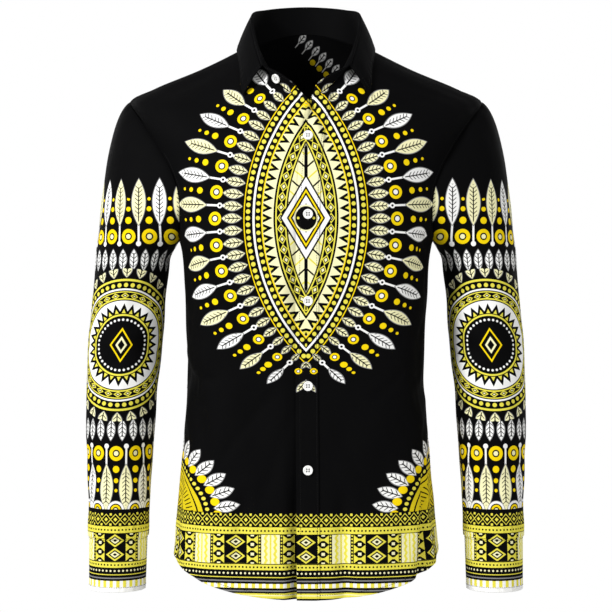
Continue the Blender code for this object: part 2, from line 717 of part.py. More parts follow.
def button_mesh():
    """A round button with four holes: flat back, raised rim, and a sunk face."""
    profile = [
        (0.0, 0.0),
        (BUTTON_RADIUS - 0.5, 0.0),
        (BUTTON_RADIUS, 0.7),
        (BUTTON_RADIUS, BUTTON_HEIGHT - 0.6),
        (BUTTON_RADIUS - 0.6, BUTTON_HEIGHT),
        (BUTTON_FACE + 0.5, BUTTON_HEIGHT),
        (BUTTON_FACE, BUTTON_HEIGHT - BUTTON_DISH),
        (0.0, BUTTON_HEIGHT - BUTTON_DISH),
    ]
    disc = turned_mesh("button_blank", profile, BUTTON_SIDES)
    above = BUTTON_HEIGHT + 1
    pin = [(0.0, -1.0), (BUTTON_HOLE, -1.0), (BUTTON_HOLE, above), (0.0, above)]
    blank = place("button_blank", disc)
    for quarter in range(4):
        hole = place(f"button_hole_{quarter}", turned_mesh("pin", pin, 8))
        turn = math.radians(45 + 90 * quarter)
        reach = BUTTON_HOLE_PLACE * MM
        hole.location = (reach * math.cos(turn), reach * math.sin(turn), 0)
        hole.hide_render = True
        hole.display_type = "WIRE"
        cut = blank.modifiers.new(hole.name, "BOOLEAN")
        cut.object = hole
        cut.operation = "DIFFERENCE"
    bpy.context.view_layer.update()
    graph = bpy.context.evaluated_depsgraph_get()
    made = bpy.data.meshes.new_from_object(blank.evaluated_get(graph))
    for helper in [blank, *[cut.object for cut in blank.modifiers]]:
        bpy.data.objects.remove(helper, do_unlink=True)
    return made


def turned_mesh(name, profile, sides):
    """A body turned round Z from a profile of (radius, height) that starts and ends on the axis."""
    shape = bmesh.new()
    rings = []
    for radius, height in profile:
        count = sides if radius > 0 else 1
        ring = []
        for i in range(count):
            turn = 2 * math.pi * i / sides
            point = Vector((radius * math.cos(turn), radius * math.sin(turn), height))
            ring.append(shape.verts.new(point * MM))
        rings.append(ring)
    for low, high in zip(rings, rings[1:]):
        for i in range(sides):
            corners = [low[i % len(low)], low[(i + 1) % len(low)]]
            corners += [high[(i + 1) % len(high)], high[i % len(high)]]
            shape.faces.new(list(dict.fromkeys(corners)))
    bmesh.ops.recalc_face_normals(shape, faces=shape.faces)
    mesh = bpy.data.meshes.new(name)
    shape.to_mesh(mesh)
    shape.free()
    return mesh


def set_button(name, mesh, at, out, material, off=LAYER_GAP):
    """A button standing off a face at a point, its axis along the face's normal."""
    out = Vector(out).normalized()
    across = out.cross(Vector((0, 0, 1))).normalized()
    up = across.cross(out)
    base = Vector(at) + out * off
    made = mesh.copy()
    made.transform(Matrix((-across, up, out)).transposed().to_4x4())
    made.transform(Matrix.Translation(base * MM))
    made.materials.clear()
    made.materials.append(material)
    place(name, made)


def between(grid, row, column):
    """Point of a grid between its rows and columns."""
    i, j = int(row), int(column)
    s, t = row - i, column - j
    low = grid[i, j] * (1 - t) + grid[i, j + 1] * t
    high = grid[i + 1, j] * (1 - t) + grid[i + 1, j + 1] * t
    return low * (1 - s) + high * s


def build_buttons(material, placket, stand, cuffs):
    """The buttons down the placket, the one on the collar stand and one on each cuff."""
    mesh = button_mesh()
    rings = front_edge_rings()
    for number, ring in enumerate(FRONT_BUTTONS, start=1):
        row = np.interp(ring, rings, np.arange(len(rings)))
        edges = through_rows(FRONT_EDGES, np.array([ring]))[0]
        column = (BUTTON_LINE - edges[0]) / (edges[1] - edges[0])
        at = between(placket, row, column)
        out = torso_normal(angle_at(BUTTON_LINE, np.array(ring)), ring)
        set_button(f"button_front_{number}", mesh, at, out, material)
    angles, face, normal = stand
    column = np.interp(COLLAR_BUTTON_ANGLE, angles, np.arange(len(angles)))
    row = 2 * COLLAR_BUTTON_HEIGHT - 0.001
    at, out = between(face, row, column), between(normal, row, column)
    set_button("button_collar", mesh, at, out, material, BUTTON_STAND_OFF)
    column = (CUFF_START - (CUFF_BUTTON_TURN - 360)) / CUFF_STEP
    for name, (face, normal) in cuffs.items():
        at, out = between(face, 0.999, column), between(normal, 0.999, column)
        set_button(f"button_cuff_{name}", mesh, at, out, material, BUTTON_STAND_OFF)


def main():
    """Clears the scene and builds every piece."""
    for old in list(bpy.data.objects):
        bpy.data.objects.remove(old, do_unlink=True)
    cloth = finish("shirt_cloth", (0.012, 0.012, 0.013), 0.75)
    white = finish("button_white", (0.86, 0.86, 0.84), 0.3)
    placket, left_neck, right_neck = build_fronts(cloth)
    build_back(cloth)
    yoke_neck = build_yoke(cloth)
    cuffs = {}
    for name, side in (("left", 1), ("right", -1)):
        build_sleeve(name, cloth, side)
        cuffs[name] = build_cuff(name, cloth, side)
    right_neck[:, 0] += np.where(right_neck[:, 0] < 180, 360, 0)
    stand = build_stand(cloth, joined(left_neck, yoke_neck, right_neck[::-1]))
    build_leaf(cloth, stand[1], stand[2])
    build_buttons(white, placket, stand, cuffs)


if __name__ == "__main__":
    main()
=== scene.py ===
"""Long-sleeve printed shirt: the looks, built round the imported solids.

Lengths are millimetres in the classes and functions, and metres in the finished meshes. +Z is
up, the front faces -Y, and +X is the wearer's left. Every cloth piece is a thin closed shell
on the same surface functions as the solid that it stands for, on a finer grid, with creases,
sunk stitch rows and the puckers of a sewn seam added.
"""

from __future__ import annotations

import logging
import math
from dataclasses import dataclass, field
from enum import Enum
from functools import partialmethod

import bmesh
import bpy
import numpy as np
from bpy.types import ID, Material, Mesh, Node, NodeSocket, NodeTree, Object
from mathutils import Matrix, Vector
from numpy.typing import NDArray

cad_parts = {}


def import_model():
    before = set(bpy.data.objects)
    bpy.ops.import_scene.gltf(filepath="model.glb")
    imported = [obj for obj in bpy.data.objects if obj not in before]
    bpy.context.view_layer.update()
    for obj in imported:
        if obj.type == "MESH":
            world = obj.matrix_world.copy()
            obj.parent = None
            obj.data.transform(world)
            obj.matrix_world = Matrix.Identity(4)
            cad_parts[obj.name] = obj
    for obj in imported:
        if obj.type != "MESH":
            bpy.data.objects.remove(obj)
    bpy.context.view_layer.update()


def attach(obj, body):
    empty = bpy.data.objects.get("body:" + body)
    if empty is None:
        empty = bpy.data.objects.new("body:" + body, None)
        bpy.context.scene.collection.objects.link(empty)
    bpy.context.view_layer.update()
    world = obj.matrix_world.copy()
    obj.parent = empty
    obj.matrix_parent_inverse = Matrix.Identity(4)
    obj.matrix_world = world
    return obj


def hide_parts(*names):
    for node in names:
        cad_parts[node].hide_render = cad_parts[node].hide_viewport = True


Array = NDArray[np.float64]
Colour = tuple[float, float, float]

LOG = logging.getLogger("shirt")
MM = 0.001
FINE = 8  # steps of the fine grid in each step of the solid's grid
RIM_SIDE = 0.3  # which side a rim counts as: 0 is the cloth's right side and 1 its wrong side
SHARP = math.radians(42)
SHARP_BUTTON = math.radians(38)


# Shared shape helpers


def table(rows: list[tuple[float, ...]]) -> Array:
    """A dataclass field that holds a table of numbers."""
    return field(default_factory=lambda: np.array(rows))


def side_by_side(*parts: Array | float) -> Array:
    """The parts in a new last axis."""
    return np.stack(np.broadcast_arrays(*parts), axis=-1)


def cubic(t: Array, start: Array, leave: Array, end: Array, arrive: Array) -> Array:
    """The curve from start to end at shares t, that leaves and arrives along two slopes."""
    return (
        (2 * t**3 - 3 * t**2 + 1) * start + (t**3 - 2 * t**2 + t) * leave
        + (3 * t**2 - 2 * t**3) * end + (t**3 - t**2) * arrive
    )


def mixed(grid: Array, row: Array | float, column: Array | float) -> Array:
    """Reads a grid between its rows and columns, by two-way mixing."""
    i, j = np.floor(row).astype(int), np.floor(column).astype(int)
    s, t = row - i, column - j
    low = grid[i, j] * (1 - t) + grid[i, j + 1] * t
    high = grid[i + 1, j] * (1 - t) + grid[i + 1, j + 1] * t
    return low * (1 - s) + high * s


def through_rows(table: Array, at: Array | float) -> Array:
    """Reads all columns of a table at values of its first column.

    Each column runs on a cubic through the rows, whose slope at a row is the mean slope there.

    Args:
        table: Rows of numbers, the first column rising.
        at: Values of the first column.

    Returns:
        The other columns, in a new last axis.
    """
    knots, values = table[:, 0], table[:, 1:]
    slopes = np.gradient(values, knots, axis=0)
    at = np.clip(np.asarray(at, float), knots[0], knots[-1])
    i = np.clip(np.searchsorted(knots, at) - 1, 0, len(knots) - 2)
    span = (knots[i + 1] - knots[i])[..., None]
    t = (at - knots[i])[..., None] / span
    return cubic(t, values[i], span * slopes[i], values[i + 1], span * slopes[i + 1])


def unit(vectors: Array) -> Array:
    """The vectors at length 1."""
    return vectors / np.maximum(np.linalg.norm(vectors, axis=-1, keepdims=True), 1e-9)


def eased(share: Array) -> Array:
    """A share from 0 to 1 with level ends: three squares less two cubes."""
    share = np.clip(share, 0, 1)
    return share**2 * (3 - 2 * share)


def run_relief(across: Array, up: Array, folds: Array) -> Array:
    """Sums soft folds.

    Each is a bell across its run, and fades near the run's ends.

    Args:
        across: Girth of each point.
        up: Height of each point.
        folds: Rows of girth_1, height_1, girth_2, height_2, depth and half_width.

    Returns:
        How far each point stands out.
    """
    total = np.zeros(np.broadcast(across, up).shape)
    for across_1, up_1, across_2, up_2, depth, half_width in folds:
        run = np.array([across_2 - across_1, up_2 - up_1])
        along = ((across - across_1) * run[0] + (up - up_1) * run[1]) / (run @ run)
        beside = ((across - across_1) * run[1] - (up - up_1) * run[0]) / math.hypot(*run)
        fade = np.clip(1.5 * (1 - np.abs(2 * along - 1)) + 0.5, 0, 1)
        total += depth * eased(fade) * np.exp(-((beside / half_width) ** 2))
    return total


def soft_folds(angle: Array, up: Array, folds: Array, half_girth: float) -> Array:
    """Folds of a tube, whose girth runs from -half_girth to half_girth and then wraps."""
    turned = (np.asarray(angle, float) + 180) % 360 - 180
    across = turned * half_girth / 180
    wraps = (across - 2 * half_girth * side for side in (-1, 0, 1))
    return sum(run_relief(wrap, up, folds) for wrap in wraps)


def unevenness(first: Array, second: Array, waves: Array) -> Array:
    """Sums sine waves over a surface, each row being two wave lengths, a phase and a height."""
    total = np.zeros(np.broadcast(first, second).shape)
    for length_1, length_2, phase, height in waves:
        total += height * np.sin(math.tau * (first / length_1 + second / length_2) + phase)
    return total


def line(start: Array | tuple, end: Array | tuple, count: int) -> Array:
    """Straight run of count steps between two places."""
    return np.linspace(np.asarray(start, float), np.asarray(end, float), count + 1)


def mirrored(run: Array) -> Array:
    """A run of (angle, ring) places from the wearer's left, on the right."""
    return run * (-1, 1) + (360, 0)


def joined(*runs: Array) -> Array:
    """Runs that follow one another, as one."""
    return np.concatenate([runs[0]] + [run[1:] for run in runs[1:]])


def patch(bottom: Array, top: Array, left: Array, right: Array, fade: float = 4.0) -> Array:
    """Grid of places that meets four edge runs.

    Rows run straight from the left edge to the right one. Near the bottom and the top they
    take on the bend of those edges, by the fourth power of the distance.

    Args:
        bottom: Run along the first row.
        top: Run along the last row.
        left: Run along the first column.
        right: Run along the last column.
        fade: Power by which the bends die out.

    Returns:
        Places, rows by columns.
    """
    s = np.linspace(0, 1, len(bottom))[None, :, None]
    t = np.linspace(0, 1, len(left))[:, None, None]
    bottom_bend = bottom - ((1 - s) * bottom[0] + s * bottom[-1])
    top_bend = top - ((1 - s) * top[0] + s * top[-1])
    rows = (1 - s) * left[:, None] + s * right[:, None]
    return rows + (1 - t) ** fade * bottom_bend + t**fade * top_bend


def sheet_normals(grid: Array) -> Array:
    """Outward normals where rows go up and columns go to the wearer's left: across by up."""
    return unit(np.cross(np.gradient(grid, axis=1), np.gradient(grid, axis=0)))


def tube_normals(grid: Array) -> Array:
    """Outward normals of a closed tube whose rows go down and columns go front to back."""
    around = np.roll(grid, -1, axis=1) - np.roll(grid, 1, axis=1)
    return unit(np.cross(np.gradient(grid, axis=0), around))


class Edge(Enum):
    """The four edges of a grid of points."""

    FIRST_ROW = "first row"
    LAST_ROW = "last row"
    FIRST_COLUMN = "first column"
    LAST_COLUMN = "last column"

    def turned(self, grid: Array) -> Array:
        """The grid turned so that this edge is its first column."""
        if self in (Edge.FIRST_ROW, Edge.LAST_ROW):
            grid = np.swapaxes(grid, 0, 1)
        return grid[:, ::-1] if self in (Edge.LAST_ROW, Edge.LAST_COLUMN) else grid

    def back(self, grid: Array) -> Array:
        """A grid that turned() gave, turned back."""
        grid = grid[:, ::-1] if self in (Edge.LAST_ROW, Edge.LAST_COLUMN) else grid
        return np.swapaxes(grid, 0, 1) if self in (Edge.FIRST_ROW, Edge.LAST_ROW) else grid


def lengths_along(grid: Array) -> Array:
    """Distance of each point from the first column, summed along its row."""
    steps = np.linalg.norm(np.diff(grid, axis=1), axis=-1)
    return np.concatenate([np.zeros((len(grid), 1)), np.cumsum(steps, axis=1)], axis=1)


@dataclass(frozen=True)
class StitchRow:
    """A row of stitches at a distance inside one edge, over a share of its length."""

    edge: Edge
    inset: float
    start: float = 0.0
    end: float = 1.0


@dataclass(frozen=True)
class Sewing:
    """How a stitch row marks the cloth, and how its stitches look."""

    sink: float = 0.28
    sink_width: float = 1.1
    pucker: float = 0.22
    pucker_length: float = 11.0
    pucker_reach: float = 7.0
    pitch: float = 3.1
    length: float = 2.3
    half_width: float = 0.26
    half_height: float = 0.2
    lift: float = 0.12

    def marks(self, base: Array, rows: tuple[StitchRow, ...]) -> Array:
        """How far the rows move the cloth.

        A row sinks it in a narrow bell, and beside the row it rises and falls in a sine wave
        along the seam, which dies out in a wider bell.

        Args:
            base: Points of the plain face.
            rows: The stitch rows on it.

        Returns:
            Move of each point along its normal.
        """
        total = np.zeros(base.shape[:2])
        for number, row in enumerate(rows):
            grid = row.edge.turned(base)
            off = lengths_along(grid) - row.inset
            along = lengths_along(np.swapaxes(grid, 0, 1)).T
            share = np.linspace(0, 1, len(grid))[:, None]
            held = (share >= row.start - 1e-6) & (share <= row.end + 1e-6)
            wave = np.sin(math.tau * along / self.pucker_length + 1.7 * number)
            wave += 0.6 * np.sin(math.tau * along / (0.61 * self.pucker_length) + number)
            mark = self.pucker * wave * np.exp(-((off / self.pucker_reach) ** 2))
            mark -= self.sink * np.exp(-((off / self.sink_width) ** 2))
            total += row.edge.back(np.where(held, mark, 0.0))
        return total


@dataclass
class Face:
    """The outer face of a sewn piece: its points and outward normals, on a grid."""

    points: Array
    normals: Array

    def run(self, row: StitchRow) -> tuple[Array, Array]:
        """Points and normals along a stitch row, read between the grid's columns."""
        points, normals = row.edge.turned(self.points), row.edge.turned(self.normals)
        reach = lengths_along(points)
        last = reach.shape[1] - 1
        after = np.clip((reach < row.inset).sum(axis=1), 1, last)
        each = np.arange(len(points))
        step = reach[each, after] - reach[each, after - 1]
        share = ((row.inset - reach[each, after - 1]) / np.maximum(step, 1e-9))[:, None]
        found = [
            grid[each, after - 1] * (1 - share) + grid[each, after] * share
            for grid in (points, normals)
        ]
        first = round(row.start * (len(points) - 1))
        end = round(row.end * (len(points) - 1)) + 1
        return found[0][first:end], unit(found[1][first:end])

    def at(self, row: float, column: float) -> tuple[Array, Array]:
        """Point and normal at a place between rows and columns."""
        return mixed(self.points, row, column), unit(mixed(self.normals, row, column))


# Meshes


def grid_quads(rows: int, columns: int, wrap: bool, start: int = 0) -> NDArray[np.int64]:
    """Quads of a grid of points that are stored row by row from index start."""
    r = np.arange(rows - 1)[:, None]
    c = np.arange(columns if wrap else columns - 1)[None, :]
    low = start + r * columns + c
    high = start + r * columns + (c + 1) % columns
    return side_by_side(low, high, high + columns, low + columns).reshape(-1, 4)


def rim_loops(rows: int, columns: int, closed: bool) -> list[NDArray[np.int64]]:
    """Indices along the open edges of a grid: two rings of a tube, or one loop of a sheet."""
    index = np.arange(rows * columns).reshape(rows, columns)
    if closed:
        return [index[0], index[-1][::-1]]
    return [np.concatenate([index[0, :-1], index[:-1, -1], index[-1, :0:-1], index[:0:-1, 0]])]


def placed(name: str, data: ID) -> Object:
    """A new object at the origin, linked to the scene."""
    made = bpy.data.objects.new(name, data)
    bpy.context.scene.collection.objects.link(made)
    return made


def face_outwards(mesh: Mesh) -> None:
    """Turns the faces of a closed mesh outwards."""
    shape = bmesh.new()
    shape.from_mesh(mesh)
    bmesh.ops.recalc_face_normals(shape, faces=shape.faces)
    shape.to_mesh(mesh)
    shape.free()


def mesh_object(
    name: str, points: Array, quads: NDArray[np.int64], material: Material,
    marks: Array | None = None,
) -> Object:
    """Makes an object from points in millimetres and quads.

    Args:
        name: Name of the piece.
        points: Points, one a row.
        quads: Corners of each face.
        material: Its finish.
        marks: For each point of a cloth piece, its two places on the print and two on the weave,
            in metres, and its side: 0 on the cloth's right side and 1 on its wrong side.

    Returns:
        The object, at the origin, linked to the scene.
    """
    mesh = bpy.data.meshes.new(name)
    mesh.vertices.add(len(points))
    mesh.vertices.foreach_set("co", (points * MM).astype(np.float32).ravel())
    mesh.loops.add(quads.size)
    mesh.loops.foreach_set("vertex_index", quads.astype(np.int32).ravel())
    mesh.polygons.add(len(quads))
    mesh.polygons.foreach_set("loop_start", np.arange(0, quads.size, 4, dtype=np.int32))
    mesh.update(calc_edges=True)
    if marks is not None:
        for map_name, places in (("print", marks[:, :2]), ("weave", marks[:, 2:4])):
            layer = mesh.uv_layers.new(name=map_name)
            layer.data.foreach_set("uv", places[quads.ravel()].astype(np.float32).ravel())
        side = mesh.attributes.new("reverse", "FLOAT", "POINT")
        side.data.foreach_set("value", marks[:, 4].astype(np.float32))
    face_outwards(mesh)
    mesh.shade_smooth()
    mesh.set_sharp_from_angle(angle=SHARP)
    mesh.materials.append(material)
    return placed(name, mesh)


def shell_object(
    name: str, outer: Array, inner: Array, places: Array, material: Material, closed: bool
) -> Object:
    """A cloth wall: an outer and an inner face, and rims rounded by one row of points.

    A rim point is the mean of the two faces' edge points, moved outwards along the sheet by a
    third of the wall.

    Args:
        name: Name of the piece.
        outer: Outer points, rows by columns.
        inner: Inner points, on the same grid.
        places: Where each point lies on the print, in metres.
        material: The cloth.
        closed: Whether the columns close to a tube.

    Returns:
        The object.
    """
    rows, columns = outer.shape[:2]
    count = rows * columns
    across, up = lengths_along(outer), lengths_along(np.swapaxes(outer, 0, 1)).T
    marks = np.concatenate([places, side_by_side(across, up, 0 * up) * MM], axis=-1)
    marks = marks.reshape(-1, 5)
    inwards = np.zeros_like(outer)
    inwards[0] += outer[1] - outer[0]
    inwards[-1] += outer[-2] - outer[-1]
    if not closed:
        inwards[:, 0] += outer[:, 1] - outer[:, 0]
        inwards[:, -1] += outer[:, -2] - outer[:, -1]
    points = [outer.reshape(-1, 3), inner.reshape(-1, 3)]
    quads = [grid_quads(rows, columns, closed), grid_quads(rows, columns, closed, count)[:, ::-1]]
    kept = [marks, marks + (0, 0, 0, 0, 1)]
    start = 2 * count
    for loop in rim_loops(rows, columns, closed):
        thick = np.linalg.norm(points[0][loop] - points[1][loop], axis=1, keepdims=True)
        outwards = -unit(inwards.reshape(-1, 3)[loop])
        points.append((points[0][loop] + points[1][loop]) / 2 + outwards * thick / 3)
        kept.append(marks[loop] + (0, 0, 0, 0, RIM_SIDE))
        middle = start + np.arange(len(loop))
        start += len(loop)
        for low, high in ((loop, middle), (middle, loop + count)):
            quads.append(side_by_side(np.roll(low, -1), low, high, np.roll(high, -1)))
    kept, points = np.concatenate(kept), np.concatenate(points)
    return mesh_object(name, points, np.concatenate(quads), material, kept)


# The shirt's form


@dataclass(frozen=True)
class TorsoForm:
    """The surface of the body panels, S(angle, ring).

    The angle is 0 degrees at the centre front, 90 at the wearer's left side and 180 at the
    centre back. The ring is a height up to the armpit, and past it counts on over the shoulder
    to the neck seam.
    """

    neck_ring: float = 100.0
    rings: Array = table([
        # ring, side_x, side_y, side_z, front_y, front_z, back_y, back_z, square
        (-745, 181.0, 0, -745, -124, -745, 121, -745, 0.070),
        (-640, 175.0, 0, -640, -122, -640, 119, -640, 0.070),
        (-540, 165.5, 0, -540, -117, -540, 113, -540, 0.070),
        (-430, 159.0, 0, -430, -113, -430, 106, -430, 0.070),
        (-340, 162.0, 0, -340, -118, -340, 110, -340, 0.070),
        (-262, 169.0, 0, -262, -124, -262, 118, -262, 0.060),
        (-205, 186.0, 2, -207, -127, -212, 123, -205, 0.040),
        (-150, 207.0, 4, -150, -124, -172, 124, -150, 0.020),
        (-100, 230.0, 5, -98, -118, -140, 118, -100, 0.000),
        (-65, 238.0, 6, -72, -113, -120, 110, -68, -0.030),
        (-20, 205.0, 6, -53, -107, -104, 101, -38, -0.040),
        (40, 140.0, 6, -25.5, -100, -89, 88, -4, -0.020),
        (100, 72.0, 5, 8, -93, -75, 72, 31, 0.000),
    ])
    folds: Array = table([
        # girth_1, height_1, girth_2, height_2, depth, half_width: the solid's own folds
        (-232, -432, -150, -452, -5.0, 17),
        (-150, -470, -78, -590, -3.5, 24),
        (-60, -470, -28, -640, -2.6, 17),
        (-205, -402, -120, -418, 3.0, 20),
        (236, -440, 150, -470, -3.6, 20),
        (130, -490, 62, -610, -2.8, 24),
        (205, -545, 196, -665, -4.0, 20),
        (-200, -560, -186, -670, -2.6, 20),
        (178, -250, 132, -330, -3.0, 18),
        (-178, -250, -138, -320, -2.6, 18),
        (300, -300, 380, -360, -3.4, 22),
        (-300, -300, -372, -352, -3.0, 22),
        (262, -430, 345, -455, -4.6, 19),
        (-262, -425, -350, -448, -4.2, 19),
        (400, -470, 425, -640, -3.6, 25),
        (-392, -480, -430, -650, -3.4, 26),
        (468, -160, 452, -380, -2.6, 20),
        (-462, -160, -448, -372, -2.4, 20),
    ])
    creases: Array = table([
        # the same columns: what the scene adds, from fine creases to the deep ones at neck and hem
        (-196, -437, -108, -441, -1.7, 6.5),
        (-180, -462, -120, -478, -1.0, 6.0),
        (-30, -452, -92, -545, -1.4, 7.5),
        (-12, -478, -44, -600, -1.2, 7.0),
        (-100, -600, -150, -668, -1.0, 8.0),
        (-150, -560, -120, -640, 0.9, 9.0),
        (70, -468, 122, -430, -1.3, 7.5),
        (120, -446, 176, -436, -1.2, 7.0),
        (32, -505, 58, -580, -1.2, 7.0),
        (80, -560, 110, -655, -1.0, 9.0),
        (150, -600, 176, -690, 1.1, 10.0),
        (26, -118, 38, -168, -1.5, 7.0),
        (44, -126, 74, -196, -1.0, 9.0),
        (-36, -122, -70, -186, -1.1, 8.0),
        (-196, -300, -140, -262, -1.2, 9.0),
        (198, -306, 140, -262, -1.3, 9.0),
        (-214, -332, -168, -372, -1.0, 8.0),
        (214, -340, 166, -386, -1.0, 8.0),
        (226, -480, 168, -520, -1.3, 8.0),
        (-228, -490, -176, -522, -1.1, 8.0),
        (290, -470, 352, -500, -1.4, 8.0),
        (-296, -462, -350, -498, -1.3, 8.0),
        (286, -330, 340, -300, -1.2, 8.0),
        (-288, -336, -344, -306, -1.2, 8.0),
        (380, -420, 430, -470, -1.3, 9.0),
        (-384, -430, -436, -484, -1.2, 9.0),
        (436, -560, 470, -690, -1.2, 10.0),
        (-440, -540, -466, -680, -1.2, 10.0),
        (496, -430, 470, -520, -1.0, 8.0),
        (410, -180, 396, -260, -1.1, 9.0),
        (-414, -186, -398, -268, -1.1, 9.0),
        (10, -66, 22, -132, -5.2, 4.6),
        (15, -76, -3, -120, -4.6, 4.2),
        (-12, -84, -30, -134, -1.8, 5.5),
        (35, -600, 36, -860, -8.0, 8.0),
        (-62, -590, -64, -680, -5.4, 8.0),
        (164, -570, 126, -725, -9.0, 10.0),
        (-132, -620, -120, -780, -1.8, 12.0),
        (70, -600, 62, -790, 1.4, 12.0),
    ])
    waves: Array = table([
        # wave length round, wave length up, phase, height
        (83.0, 171.0, 0.4, 0.34),
        (-61.0, 127.0, 1.9, 0.26),
        (47.0, -211.0, 3.1, 0.22),
        (139.0, 67.0, 5.0, 0.20),
        (-33.0, -89.0, 2.2, 0.10),
        (29.0, 53.0, 4.1, 0.07),
    ])
    half_girth: float = 500.0
    front_hem: float = -722.5
    back_hem: float = -735.0
    side_hem: float = -671.0
    armpit_ring: float = -256.0
    tip_ring: float = -62.0
    armhole_front: float = 31.0
    armhole_back: float = 27.0
    armhole_scoop: float = 0.16
    mm_a_degree: float = 3.4
    calm_reach: float = 90.0

    def plain(self, angle: Array | float, ring: Array | float) -> Array:
        """The surface before its folds: each ring is an oval, squared by a third harmonic."""
        angle, ring = np.broadcast_arrays(np.asarray(angle, float), np.asarray(ring, float))
        side_x, side_y, side_z, front_y, front_z, back_y, back_z, square = np.moveaxis(
            through_rows(self.rings, ring), -1, 0
        )
        a = np.radians(angle)
        sine = (np.sin(a) + square * np.sin(3 * a)) / (1 - square)
        cosine = (np.cos(a) - square * np.cos(3 * a)) / (1 - square)
        faces_front = np.cos(a) >= 0
        end_y = np.where(faces_front, front_y, back_y)
        end_z = np.where(faces_front, front_z, back_z)
        y = side_y + (end_y - side_y) * np.abs(cosine)
        return side_by_side(side_x * sine, y, side_z * np.sin(a) ** 2 + end_z * np.cos(a) ** 2)

    def normal(self, angle: Array | float, ring: Array | float) -> Array:
        """Outward normal, from small steps along the two parameters."""
        step = 0.2
        low = np.minimum(np.asarray(ring, float), self.neck_ring - step)
        around = self.plain(np.add(angle, step), ring) - self.plain(np.subtract(angle, step), ring)
        up = self.plain(angle, low + step) - self.plain(angle, low - step)
        return unit(np.cross(around, up))

    def point(self, angle: Array | float, ring: Array | float, lift: Array | float = 0.0) -> Array:
        """Points of the outer face with folds, creases and unevenness, moved out by lift."""
        plain = self.plain(angle, ring)
        folds = np.concatenate([self.folds, self.creases])
        relief = soft_folds(angle, plain[..., 2], folds, self.half_girth)
        girth = ((np.asarray(angle, float) + 180) % 360 - 180) * self.half_girth / 180
        calm = eased((self.neck_ring - np.asarray(ring, float)) / self.calm_reach)
        relief += calm * unevenness(np.abs(girth), plain[..., 2] + 0.2 * girth, self.waves)
        return plain + (relief + lift)[..., None] * self.normal(angle, ring)

    def angle_at(self, sideways: Array | float, ring: Array | float) -> Array:
        """Angle near the centre front whose point on the ring lies that far sideways."""
        rows = through_rows(self.rings, ring)
        side_x, square = rows[..., 0], rows[..., 7]
        angle = np.asarray(sideways) * (1 - square) / (side_x * (1 + 3 * square))
        for _ in range(4):
            sine = (np.sin(angle) + square * np.sin(3 * angle)) / (1 - square)
            slope = (np.cos(angle) + 3 * square * np.cos(3 * angle)) / (1 - square)
            angle = angle - (sine * side_x - sideways) / (slope * side_x)
        return np.degrees(angle)

    def hem_ring(self, angle: Array | float) -> Array:
        """Height of the hem: low at the centres, rising with the squared sine to the sides."""
        turned = np.abs((np.asarray(angle, float) + 180) % 360 - 180)
        lowest = np.where(turned <= 90, self.front_hem, self.back_hem)
        return lowest + (self.side_hem - lowest) * np.sin(np.radians(turned)) ** 2

    def armhole(self, turn: Array | float, spread: float = 0.0) -> Array:
        """(angle, ring) of the left armhole loop, or of a loop that far outside it.

        Turn 0 is on the shoulder, 180 at the armpit, and positive to the front. The angle
        follows a scooped sine of the turn, and the ring its cosine.
        """
        t = np.radians(turn)
        reach = np.where(np.sin(t) >= 0, self.armhole_front, self.armhole_back)
        reach = reach + spread / self.mm_a_degree
        angle = 90 - reach * (np.sin(t) - self.armhole_scoop * np.sin(2 * t))
        middle = (self.armpit_ring + self.tip_ring) / 2
        half = (self.tip_ring - self.armpit_ring) / 2 + spread
        return side_by_side(angle, middle + half * np.cos(t))

    def print_place(self, places: Array, centre: int = 0) -> Array:
        """Where each (angle, ring) place lies on the print, in metres.

        Across is the length of the plain ring from a centre line, and up is the plain surface's
        height.

        Args:
            places: The places, less than 180 degrees from the centre line.
            centre: Angle of the centre line: 0 in front, 180 at the back.

        Returns:
            Across and up.
        """
        steps = centre + np.linspace(-180, 180, 361)
        rings = np.linspace(self.rings[0, 0], self.neck_ring, 85)
        reach = lengths_along(self.plain(steps[None, :], rings[:, None]))
        reach -= reach[:, 180:181]
        row = np.clip((places[..., 1] - rings[0]) / (rings[1] - rings[0]), 0, len(rings) - 1.001)
        column = np.clip(places[..., 0] - centre + 180, 0, 359.999)
        height = self.plain(places[..., 0], places[..., 1])[..., 2]
        return side_by_side(mixed(reach, row, column), height) * MM


@dataclass(frozen=True)
class Cloth:
    """Thicknesses of the cloth, and the gaps between sewn pieces."""

    wall: float = 1.2
    stand: float = 1.9
    leaf: float = 1.5
    cuff: float = 2.0
    seam_gap: float = 0.3
    layer_gap: float = 0.3

    def drawn_in(self, outer: Array, closed: bool = False) -> Array:
        """Moves that draw a grid's edges in by half the seam gap, square to each edge."""
        move = np.zeros_like(outer)

        def draw(edge: Array, neighbour: Array) -> Array:
            """Half the gap, from the edge towards its neighbour."""
            along = unit(np.gradient(edge, axis=0))
            inward = neighbour - edge
            inward = inward - (inward * along).sum(-1, keepdims=True) * along
            return unit(inward) * self.seam_gap / 2

        move[0] += draw(outer[0], outer[1])
        move[-1] += draw(outer[-1], outer[-2])
        if not closed:
            move[:, 0] += draw(outer[:, 0], outer[:, 1])
            move[:, -1] += draw(outer[:, -1], outer[:, -2])
        return move


@dataclass(frozen=True)
class Cut:
    """A piece's flat cut: width, length and area in metres, and the nodes that it hangs on."""

    width: float
    length: float
    area: float
    hangs_on: tuple[str, ...]


